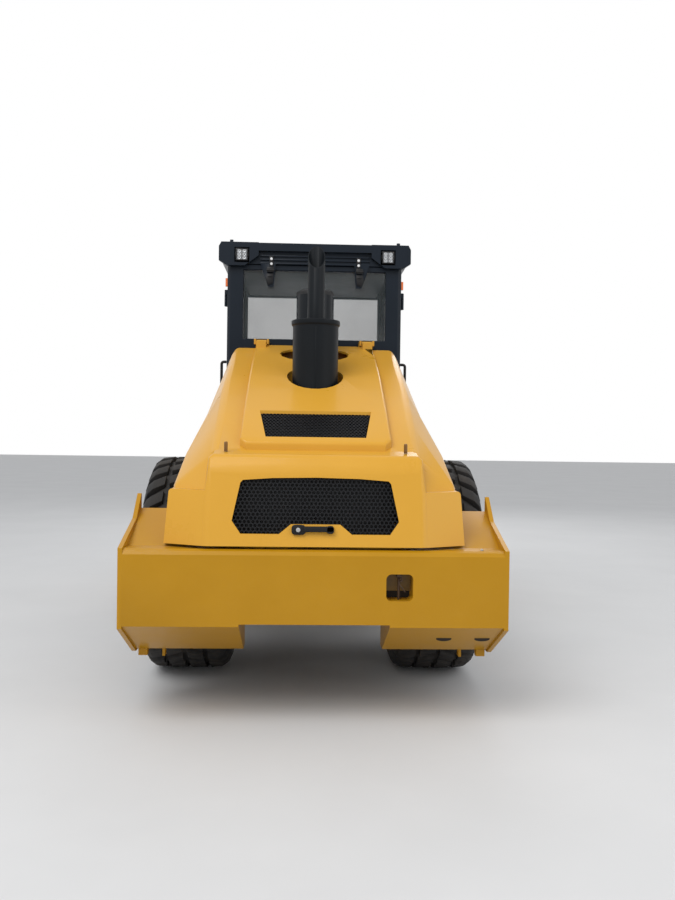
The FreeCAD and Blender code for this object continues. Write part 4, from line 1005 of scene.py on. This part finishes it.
@dataclass(frozen=True)
class Hood:
    """Grilles, latch, pegs, exhaust stack and pre-cleaner of the engine hood."""

    stack: float = 1.14
    cleaner: float = 1.65
    shelf: float = 1.912
    rear_slope: float = 0.1 / 0.436
    fin_count: int = 46
    fin_pitch: float = 0.02

    def face(self, z: float) -> float:
        """Distance of the rear wall ahead of the rear face at height z."""
        return 0.02 + self.rear_slope * (z - 1.034)

    def grilles(self) -> None:
        """Builds both perforated sheets and the fins of the cooler behind the lower one."""
        z = 1.262
        turn = (Matrix.Translation((0, at(self.face(z) + 0.0175), z))
                @ Matrix.Rotation(math.pi / 2 - math.atan(self.rear_slope), 4, "X"))
        HexSheet("lower_grille_sheet", 0.96, 0.35).build(turn, lambda x, y: abs(x) < 0.492 - max(0.0, y) * 0.12)
        rise = math.atan2(0.173, 0.302)
        middle = Matrix.Translation((0, at(0.4885), 1.7205)) @ Matrix.Rotation(rise, 4, "X")

        def inside(x: float, y: float) -> bool:
            """Whether a point lies well inside the upper opening."""
            along = y * math.cos(rise)
            return abs(along) < 0.139 and abs(x) < 0.3195 + along * 0.174

        HexSheet("upper_grille_sheet", 0.68, 0.31, pitch=0.0225, web=0.0028).build(middle, inside)
        fins = Workpiece("cooler_fins")
        for k in range(self.fin_count):
            x = -0.45 + k * self.fin_pitch
            fins.block((x, at(0.316), 1.03), (x + 0.003, at(0.3298), 1.48))
        fins.finish(CHASSIS)

    @staticmethod
    def rounded(x0: float, x1: float, z0: float, z1: float, corner: float) -> Profile:
        """Outline of a rectangle with round corners.

        Args:
            x0: left side.
            x1: right side.
            z0: lower side.
            z1: upper side.
            corner: radius of the corners.

        Returns:
            The outline's points.
        """
        inner = ((x1 - corner, z1 - corner), (x0 + corner, z1 - corner), (x0 + corner, z0 + corner),
                 (x1 - corner, z0 + corner))
        return [(x + corner * math.cos(turn), z + corner * math.sin(turn)) for k, (x, z) in enumerate(inner)
                for turn in (math.radians(90 * k + 15 * i) for i in range(7))]

    def latch(self) -> None:
        """Builds the latch handle with its lock and the two bronze pegs."""
        wall = at(self.face(1.106))
        base = wall - 0.0006
        work = Workpiece("latch_handle")
        for outline, front, back in (((-0.136, -0.056, 1.1015, 1.157, 0.02), -0.016, 0.004),
                                     ((-0.07, 0.104, 1.118, 1.150, 0.012), -0.0205, -0.0075),
                                     ((0.062, 0.104, 1.109, 1.152, 0.014), -0.0205, 0.006)):
            work.plate([(x, base + back, z) for x, z in self.rounded(*outline)], (0, front - back, 0), bevel=0.003)
        work.rod((-0.098, base - 0.015, 1.130), (-0.098, base - 0.019, 1.130), 0.022, 0.020, sides=32, bevel=0.0015)
        work.finish(BLACK, Body.HOOD, "hood_fittings")
        lock = Workpiece("lock_barrel")
        lock.rod((-0.098, wall - 0.019, 1.130), (-0.098, wall - 0.0225, 1.130), 0.0125, sides=28, bevel=0.001)
        lock.finish(BOLT, Body.HOOD)
        pegs = Workpiece("bronze_pegs")
        for x in (-0.528, 0.528):
            pegs.turned([(0.0, 0.0), (0.0, 0.0105), (0.05, 0.0105), (0.054, 0.0095), (0.057, 0.007), (0.058, 0.0)],
                        (x, at(0.235), 1.5635), UP, steps=28)
        pegs.finish(BRONZE, Body.HOOD, "hood_fittings")

    def stack_and_can(self) -> None:
        """Rebuilds the muffler can, its bands and the slash-cut stack."""
        work = Workpiece("muffler_can")
        y = at(self.stack)
        can = [(0.0, 0.0), (0.0, 0.154), (0.004, 0.1575), (0.012, 0.1575), (0.494, 0.1575), (0.505, 0.159),
               (0.513, 0.1665), (0.516, 0.1675), (0.540, 0.1675), (0.543, 0.165), (0.543, 0.135), (0.536, 0.128),
               (0.531, 0.07), (0.536, 0.0605)]
        work.turned(can, (0, y, self.shelf), UP, steps=80)
        work.block((-0.003, y - 0.1588, 1.93), (0.003, y - 0.1564, 2.40), 0.0008)
        work.finish(MUFFLER, Body.HOOD, "muffler")
        pipe = Workpiece("exhaust_stack")
        bm = pipe.bm
        pipe.turned([(2.43, 0.0545), (2.43, 0.059), (3.0, 0.059), (3.0, 0.0545)], (0, y, 0), UP, steps=56, closed=True)
        slope = math.radians(56.5)
        bmesh.ops.bisect_plane(bm, geom=bm.verts[:] + bm.edges[:] + bm.faces[:], plane_co=(0, y, 2.8985),
                               plane_no=(0, -math.sin(slope), math.cos(slope)), clear_outer=True)
        bmesh.ops.bridge_loops(bm, edges=[e for e in bm.edges if e.is_boundary])
        pipe.turned([(2.452, 0.0588), (2.454, 0.0665), (2.474, 0.0665), (2.476, 0.0588)], (0, y, 0), UP, steps=56)
        pipe.block((0.06, y - 0.006, 2.455), (0.082, y + 0.006, 2.473), 0.002)
        pipe.finish(MUFFLER, Body.HOOD)

    def pre_cleaner(self) -> None:
        """Rebuilds the air pre-cleaner: stem, vane ring, bowl and cover."""
        foot = Vector((0, at(self.cleaner), self.shelf))
        parts = (
            ("cleaner_stem", BLACK, 56, [(0.0, 0.0), (0.0, 0.0695), (0.30, 0.0695), (0.305, 0.078), (0.325, 0.078),
                                         (0.33, 0.0695), (0.375, 0.07), (0.385, 0.106), (0.416, 0.109)]),
            ("cleaner_bowl", SMOKED, 72, [(0.416, 0.09), (0.416, 0.132), (0.422, 0.139), (0.434, 0.1405),
                                          (0.78, 0.1405), (0.80, 0.1405)]),
            ("cleaner_cover", BLACK, 72, [(0.796, 0.1385), (0.798, 0.1406), (0.818, 0.1406), (0.826, 0.136),
                                          (0.838, 0.118), (0.8395, 0.10), (0.8395, 0.0)]))
        for name, finish, steps, profile in parts:
            work = Workpiece(name)
            work.turned(profile, foot, UP, steps=steps)
            if name == "cleaner_cover":
                self.vanes(work, foot)
            work.finish(finish, Body.HOOD, "air_precleaner")

    @staticmethod
    def vanes(work: Workpiece, foot: Vector) -> None:
        """Adds the pre-cleaner's ring of slanted vanes and its inner core.

        Args:
            work: the cover's workpiece.
            foot: middle of the pre-cleaner's foot.
        """
        half = Vector((0.018, 0.0015, 0.011))
        for angle in (math.tau * k / 18 for k in range(18)):
            spot = foot + Matrix.Rotation(angle, 3, "Z") @ Vector((0.1, 0, 0)) + Vector((0, 0, 0.405))
            work.block(spot - half, spot + half, turn=Matrix.Rotation(angle + 0.5, 3, "Z"))
        work.turned([(0.43, 0.0), (0.43, 0.06), (0.79, 0.075), (0.79, 0.0)], foot, UP, steps=40)

    def build(self) -> None:
        """Builds all pieces on the hood."""
        self.grilles()
        self.latch()
        self.stack_and_can()
        self.pre_cleaner()


# Counterweight and frame fittings
@dataclass(frozen=True)
class RearFittings:
    """Bolt, painted shade on the recess's back, painted shadow in the cast slots, and step treads of the rear frame.
    """

    top: float = 1.017
    recess: tuple[float, float, float, float] = (0.404, 0.552, 0.734, 0.886)
    recess_back: float = 0.1195
    step_levels: tuple[float, float, float] = (0.47, 0.78, 1.09)
    stud_rows: int = 7
    stud_columns: int = 3
    stud_pitch: tuple[float, float] = (0.085, 0.053)

    def counterweight(self) -> None:
        """Adds the deck bolt, painted shadow in the drain slots, painted shade on the recess's back with painted
        shadow in its slot, and the tow pin with its cable.
        """
        bolts = Workpiece("counterweight_bolts")
        bolts.hexagon((0.952, at(0.052), self.top + 0.0005), UP, 0.008, 0.009)
        bolts.finish(BOLT)
        # Flat dark discs of painted shadow stand in for the insides of the drain slots.
        holes = Workpiece("drain_slots")
        slope = Vector((0, -0.287, -0.215)).normalized()
        for x in (0.766, 0.993):
            spot = Vector((x, at(0.20), 0.4765))
            made = holes.rod(spot - slope * 0.001, spot + slope * 0.0022, 0.046, sides=40)
            bmesh.ops.scale(holes.bm, vec=(1, 0.45, 0.45), verts=made, space=Matrix.Translation(-spot))
        holes.finish(SHADOW)
        (x0, x1, z0, z1), back = self.recess, self.recess_back
        # Thin sheets on the recess's back: painted shade above, and painted shadow for the slot below it.
        slab("recess_shade_sheet", RECESS_SHADE, (x0, back - 0.003, z0 + 0.04), (x1, back - 0.0005, z1))
        slab("recess_slot", SHADOW, (x0 + 0.004, back - 0.002, z0), (x1 - 0.004, back - 0.0004, z0 + 0.04))
        pin = Workpiece("tow_pin_rod")
        x, y = 0.478, at(0.055)
        pin.rod((x, y, 0.7345), (x, y, 0.8855), 0.0075, sides=20, bevel=0.001)
        pin.block((x - 0.016, at(0.02), 0.866), (x + 0.016, at(0.07), 0.8855), 0.004)
        pin.turned([(-0.003, 0.009), (0.0, 0.006), (0.003, 0.009), (0.0, 0.012)], (x + 0.004, at(0.03), 0.855),
                   (0.2, 1, 0), steps=28, closed=True)
        cable = ((0.010, 0.028, 0.868), (0.018, 0.026, 0.845), (-0.006, 0.024, 0.835), (0.022, 0.022, 0.80),
                 (0.034, 0.021, 0.782))
        pin.pipe([(x + across, at(ahead), z) for across, ahead, z in cable], 0.0032, sides=8, bend=0.006)
        pin.finish(BARE_STEEL, stands_for="tow_pin")

    def steps(self) -> None:
        """Adds the gripping studs of the steps."""
        studs = Workpiece("step_studs")
        across, along = self.stud_pitch
        for s, z, i, j in product(SIDES, self.step_levels, range(self.stud_rows), range(self.stud_columns)):
            spot = Vector((s * (0.85 + across * j), at(2.40 + along * i), z))
            studs.rod(spot, spot + Vector((0, 0, 0.004)), 0.012, 0.008, sides=10)
        studs.finish(CAB)

    def build(self) -> None:
        """Builds all fittings of the rear frame."""
        self.counterweight()
        self.steps()


# Cab
@dataclass(frozen=True)
class LampRow:
    """Work lamps at one end of the roof, with the places of their front and back and the way they face."""

    places: Sequence[float]
    front: float
    back: float
    way: int
    half: float = 0.0475
    z: float = 3.095
    half_z: float = 0.048

    def depth(self, start: float, end: float, behind: bool = False) -> tuple[float, float]:
        """Y of two places behind the lamp's front, or behind its back."""
        origin = at(self.back if behind else self.front)
        return origin - self.way * start, origin - self.way * end

    def lamp(self, x: float, shells: Workpiece, chips: Workpiece, glass: Workpiece) -> None:
        """Builds one lamp.

        Args:
            x: its middle.
            shells: takes the housing, its plate, ears, cooling fins and bezel.
            chips: takes the six diodes.
            glass: takes the cover.
        """
        half, z, half_z, way = self.half, self.z, self.half_z, self.way
        front, back = at(self.front), at(self.back)
        shells.around(x, self.depth(0, 0.004, behind=True), z - 0.003, (half + 0.009, half_z + 0.003), 0.002)
        ears = (back, front - way * 0.012)
        for s in SIDES:
            arm = Vector((x + s * (half + 0.0025), sum(ears) / 2, z))
            shells.around(arm.x, ears, z, (0.0022, 0.022), 0.001)
            shells.rod(arm, arm + Vector((s * 0.005, 0, 0)), 0.008, sides=16)
        shells.around(x, (front - way * 0.006, back), z, (half, half_z), 0.005)
        for k in range(-2, 3):
            shells.around(x + k * half * 0.4, self.depth(0.002, -0.012, behind=True), z, (0.002, half_z * 0.8), 0.0005)
        for s in SIDES:
            shells.around(x, self.depth(0, 0.008), z + s * 0.92 * half_z, (half, 0.08 * half_z), 0.001)
            shells.around(x + s * 0.92 * half, self.depth(0, 0.008), z, (0.08 * half, 0.86 * half_z), 0.001)
        for i, j in product((-0.42, 0.42), (-0.56, 0.0, 0.56)):
            chips.turned([(0.0, 0.0), (0.0, 0.0045), (0.0025, 0.011), (0.0025, 0.013), (0.0, 0.0132)],
                         (x + i * half, front - way * 0.0062, z + j * half_z), (0, way, 0), steps=20)
        glass.around(x, self.depth(0.002, 0.0032), z, (half * 0.9, half_z * 0.9))


@dataclass(frozen=True)
class Cab:
    """Lamps, ribs, brackets, headliner and what the driver uses."""

    lamp_rows: Sequence[LampRow] = (LampRow((-0.582, 0.582), 2.016, 2.056, -1),
                                    LampRow((-0.62, -0.47, 0.47, 0.62), 3.56, 3.51, 1))
    console_x: float = 0.36

    def lamps(self) -> None:
        """Rebuilds the work lamps, each with its housing, bezel and six diodes."""
        shells, chips, glass = Workpiece("lamp_housings"), Workpiece("lamp_diodes"), Workpiece("lamp_lenses")
        for row in self.lamp_rows:
            for x in row.places:
                row.lamp(x, shells, chips, glass)
        for work, finish in ((shells, BLACK), (chips, LENS), (glass, LAMP_GLASS)):
            work.finish(finish, stands_for="work_lamps")

    def roof(self) -> None:
        """Adds the ribs under the visor, and the rear window's hinges with their white caps."""
        ribs = Workpiece("visor_ribs")
        for z in (3.036, 3.066, 3.096):
            ribs.around(0, (at(2.0575), at(2.0705)), z, (0.438, 0.006), 0.002)
        ribs.finish(CAB)
        bolts, irons = Workpiece("bracket_bolts"), Workpiece("window_hinges")
        wall = 2.0576
        for s in SIDES:
            for z in (3.03, 3.07):
                bolts.rod((s * 0.348, at(2.0500), z), (s * 0.348, at(2.0455), z), 0.0105, bevel=0.001)
            for x, ends, z, half, bevel in ((0.348, (2.0500, wall), 3.046, (0.015, 0.046), 0.002),
                                            (0.355, (2.034, wall), 2.983, (0.027, 0.021), 0.004),
                                            (0.357, (2.041, 2.049), 2.9315, (0.018, 0.0065), 0.002)):
                irons.around(s * x, [at(d) for d in ends], z, half, bevel)
            irons.rod((s * 0.325, at(2.040), 2.978), (s * 0.385, at(2.040), 2.978), 0.009, sides=16)
            corners = ((0.330, 2.954), (0.382, 2.954), (0.392, 2.905), (0.374, 2.862), (0.336, 2.876))
            irons.plate([(s * x, at(wall), z) for x, z in corners], (0, -0.010, 0), bevel=0.002)
        irons.finish(BLACK)
        bolts.finish(WHITE_CAP)

    def interior(self) -> None:
        """Adds the headliner, the mat, the dash's binnacle and screen, and the side console's switches and lever."""
        slab("headliner", BLACK, (-0.60, 2.17, 2.992), (0.60, 3.36, 3.004), 0.004)
        slab("floor_mat", SOFT_RUBBER, (-0.58, 2.15, 1.4405), (0.58, 3.36, 1.447), 0.002)
        trim = Workpiece("dash_binnacle")
        trim.block((-0.135, at(3.155), 2.098), (0.135, at(3.275), 2.134), 0.012, segments=3)
        x = self.console_x
        for k in range(5):
            y = at(2.66 + 0.05 * k)
            trim.block((x - 0.035, y, 1.9795), (x + 0.005, y + 0.032, 1.987), 0.003)
        trim.rod((x, at(2.98), 1.9795), (x, at(2.99), 1.992), 0.03, 0.022, sides=24, bevel=0.002)
        trim.rod((x, at(2.985), 1.99), (x, at(3.005), 2.09), 0.007, sides=14)
        trim.turned([(0.0, 0.0), (0.0, 0.009), (0.012, 0.017), (0.03, 0.019), (0.045, 0.012), (0.048, 0.0)],
                    (x, at(3.003), 2.08), (0, 0.2, 0.98), steps=28)
        trim.finish(BLACK)
        slab("dash_screen", SMOKED, (-0.10, 3.18, 2.1335), (0.10, 3.25, 2.1355), 0.0008)

    def wheel(self) -> None:
        """Rebuilds the steering wheel: rim, three spokes, hub and shaft."""
        work = Workpiece("steering_rim")
        centre = Vector((0, at(3.08), 2.164))
        axis = Vector((0, -0.42, 0.907)).normalized()
        grip, radius = 0.0145, 0.19
        ring = [(grip * math.sin(turn), radius + grip * math.cos(turn)) for turn in
                (math.tau * k / 14 for k in range(14))]
        work.turned(ring, centre, axis, steps=72, closed=True)
        hub = [(-0.03, 0.0), (-0.03, 0.03), (-0.012, 0.039), (0.018, 0.039), (0.028, 0.032), (0.03, 0.0)]
        work.turned(hub, centre, axis, steps=40)
        work.rod(centre - axis * 0.06, centre, 0.0215, sides=24)
        for turn in map(math.radians, (90, 210, 330)):
            along = Vector((1, 0, 0)) * math.cos(turn) + Vector((0, 0.907, 0.42)) * math.sin(turn)
            work.rod(centre + along * 0.03, centre + along * 0.187, 0.0115, 0.0085, sides=16)
        work.finish(BLACK, stands_for="steering_wheel")

    def rails(self) -> None:
        """Rebuilds the grab rails beside the doors and at the windscreen."""
        work = Workpiece("grab_rails")
        low, high, back = 1.56, 2.15, at(3.452)
        for s in SIDES:
            y, x, wall = at(2.121), s * 0.74, s * 0.702
            work.pipe([(wall, y, 1.87), (x, y, 1.87), (x, y, 2.25), (wall, y, 2.25)], 0.0112, bend=0.02)
            x, front = s * 0.64, at(3.51)
            work.pipe([(x, back, low), (x, front, low), (x, front, high), (x, back, high)], 0.0118)
            for z in (low, high):
                work.rod((x, at(3.4505), z), (x, at(3.458), z), 0.022, sides=24, bevel=0.001)
        work.finish(BLACK, stands_for="handrails")

    def build(self) -> None:
        """Builds the cab's fittings."""
        self.lamps()
        self.roof()
        self.interior()
        self.wheel()
        self.rails()


@dataclass(frozen=True)
class SeatCushions:
    """Seat base, padded cushion and padded back of the driver's seat."""

    frames: int = 20
    voxel: float = 0.006
    pressure: float = 4.0
    cap: float = 0.022
    rounding: float = 0.028

    def cushion(self, name: str, low: Point, high: Point, turn: Matrix) -> None:
        """Builds one pad by blowing up a cloth skin a little.

        Args:
            name: the pad's name.
            low: lowest corner before it swells.
            high: highest corner before it swells.
            turn: rotation about the pad's middle.
        """
        work = Workpiece(name)
        work.block(low, high, self.rounding, segments=4, turn=turn)
        piece = work.finish(CLOTH, smooth=60)
        remesh = piece.modifiers.new("even", "REMESH")
        remesh.mode = "VOXEL"
        remesh.voxel_size = self.voxel
        self.apply(piece)
        self.swell(piece)
        smooth = piece.modifiers.new("round", "SUBSURF")
        smooth.levels = smooth.render_levels = 1
        for polygon in piece.data.polygons:
            polygon.use_smooth = True
        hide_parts("seat")

    def swell(self, piece: bpy.types.Object) -> None:
        """Runs the cloth simulation on a pad and keeps every point within the cap.

        Args:
            piece: the pad.
        """
        start = [v.co.copy() for v in piece.data.vertices]
        cloth = piece.modifiers.new("swell", "CLOTH")
        cloth.settings.use_pressure = True
        cloth.settings.uniform_pressure_force = self.pressure
        cloth.settings.effector_weights.gravity = 0.0
        cloth.settings.quality = 5
        cloth.point_cache.frame_end = self.frames
        for number in range(1, self.frames + 1):
            bpy.context.scene.frame_set(number)
            bpy.context.view_layer.update()
        self.apply(piece)
        for vert, origin in zip(piece.data.vertices, start):
            step = vert.co - origin
            if step.length > self.cap:
                vert.co = origin + step.normalized() * self.cap
        bpy.context.scene.frame_set(1)

    @staticmethod
    def apply(piece: bpy.types.Object) -> None:
        """Bakes the modifiers of a piece into its mesh.

        Args:
            piece: the piece.
        """
        graph = bpy.context.evaluated_depsgraph_get()
        mesh = bpy.data.meshes.new_from_object(piece.evaluated_get(graph))
        piece.modifiers.clear()
        piece.data = mesh

    def build(self) -> None:
        """Builds the whole seat."""
        lean, level = (Matrix.Rotation(math.radians(degrees), 3, "X") for degrees in (5.5, 2.0))
        self.cushion("seat_cushion", (-0.235, at(2.525), 1.735), (0.235, at(2.985), 1.835), level)
        self.cushion("seat_back_pad", (-0.225, at(2.475), 1.885), (0.225, at(2.575), 2.455), lean)
        base = Workpiece("seat_frame")
        bellows = [(0.178, 2.592, 2.928, z, z + 0.02, 0.009, 2, None) for z in (1.492, 1.53, 1.568, 1.606)]
        for half, rear, front, low, high, bevel, segments, turn in (
                (0.20, 2.56, 2.96, 1.4405, 1.47, 0.006, 2, None), (0.17, 2.60, 2.92, 1.47, 1.65, 0.03, 3, None),
                *bellows, (0.22, 2.54, 2.97, 1.652, 1.728, 0.012, 2, None),
                (0.215, 2.456, 2.488, 1.76, 2.43, 0.013, 3, lean), (0.20, 2.49, 2.58, 1.73, 1.76, 0.01, 2, None)):
            base.block((-half, at(rear), low), (half, at(front), high), bevel, segments, turn)
        base.finish(BLACK, stands_for="seat")


@dataclass(frozen=True)
class Studio:
    """Floor, light and the camera at the photograph's place."""

    eye: tuple[float, float, float] = (-0.077, -7.52, 1.65)
    focal_px: float = 850.0
    height_px: float = 900.0
    centre_px: tuple[float, float] = (337.5, 450.0)
    vanish_px: tuple[float, float] = (303.0, 438.0)
    roll: float = 0.0139
    sensor: float = 36.0
    target: tuple[float, float, float] = (0, -0.6, 1.0)
    floor_half: float = 60.0
    sky: float = 0.62
    lamps: tuple[tuple[str, tuple[float, float, float], float, float], ...] = (
        ("key", (-4.5, -8.0, 9.5), 7.0, 750.0), ("fill", (6.5, -6.0, 5.0), 6.0, 160.0),
        ("rim", (2.0, 9.0, 8.0), 6.0, 260.0))

    def camera(self) -> None:
        """Places the camera from the vanishing point and the focal length."""
        data = bpy.data.cameras.new("camera")
        data.sensor_fit = "VERTICAL"
        data.sensor_height = self.sensor
        data.lens = self.focal_px / self.height_px * self.sensor
        data.clip_end = 200.0
        camera = bpy.data.objects.new("camera", data)
        bpy.context.scene.collection.objects.link(camera)
        yaw, pitch = (-math.atan((centre - vanish) / self.focal_px)
                      for centre, vanish in zip(self.centre_px, self.vanish_px))
        turn = (Matrix.Rotation(yaw, 4, "Z") @ Matrix.Rotation(math.radians(90) + pitch, 4, "X")
                @ Matrix.Rotation(self.roll, 4, "Z"))
        camera.matrix_world = Matrix.Translation(self.eye) @ turn
        bpy.context.scene.camera = camera

    def floor(self) -> None:
        """Lays a wide pale floor."""
        bm = bmesh.new()
        bmesh.ops.create_grid(bm, x_segments=1, y_segments=1, size=self.floor_half)
        mesh = bpy.data.meshes.new("floor")
        bm.to_mesh(mesh)
        bm.free()
        floor = bpy.data.objects.new("floor", mesh)
        bpy.context.scene.collection.objects.link(floor)
        material, sh, inputs, coords = start_material("floor_pale")
        sh.put(inputs["Base Color"], sh.mix(sh.noise(coords, 0.8), (0.60, 0.60, 0.60), (0.68, 0.68, 0.68)))
        sh.put(inputs["Roughness"], 0.8)
        mesh.materials.append(material)

    def light(self) -> None:
        """Sets a white backdrop, a soft sky and three large lamps."""
        world = bpy.data.worlds.new("studio")
        bpy.context.scene.world = world
        world.use_nodes = True
        sh = Shader(world.node_tree)
        sh.nodes.clear()
        soft = sh.add("ShaderNodeBackground", {"Color": (0.95, 0.97, 1.0), "Strength": self.sky}).outputs[0]
        white = sh.add("ShaderNodeBackground", {"Color": (1.0, 1.0, 1.0)}).outputs[0]
        path = sh.add("ShaderNodeLightPath").outputs
        seen = sh.math("MAXIMUM", path["Is Camera Ray"],
                       sh.math("MAXIMUM", path["Is Glossy Ray"], path["Is Transmission Ray"]))
        mixed = sh.add("ShaderNodeMixShader", {0: seen, 1: soft, 2: white})
        sh.add("ShaderNodeOutputWorld", {"Surface": mixed.outputs[0]})
        for name, place, size, power in self.lamps:
            data = bpy.data.lights.new(name, "AREA")
            data.size = size
            data.energy = power
            lamp = bpy.data.objects.new(name, data)
            bpy.context.scene.collection.objects.link(lamp)
            lamp.location = place
            lamp.rotation_euler = (Vector(self.target) - Vector(place)).to_track_quat("-Z", "Y").to_euler()
        bpy.context.scene.view_settings.view_transform = "Standard"

    def build(self) -> None:
        """Builds the whole studio."""
        self.floor()
        self.light()
        self.camera()
        LOG.info("studio ready")


def main() -> None:
    """Builds the pieces in order."""
    Studio().build()
    dress_cad_nodes()
    for part in SOFTENED:
        part.build()
    for side, body, name in ((-1, Body.LEFT_WHEEL, "left"), (1, Body.RIGHT_WHEEL, "right")):
        WheelSet(name, side, body).build()
    DrumModule().build()
    Hood().build()
    RearFittings().build()
    Cab().build()
    SeatCushions().build()


if __name__ == "__main__":
    main()
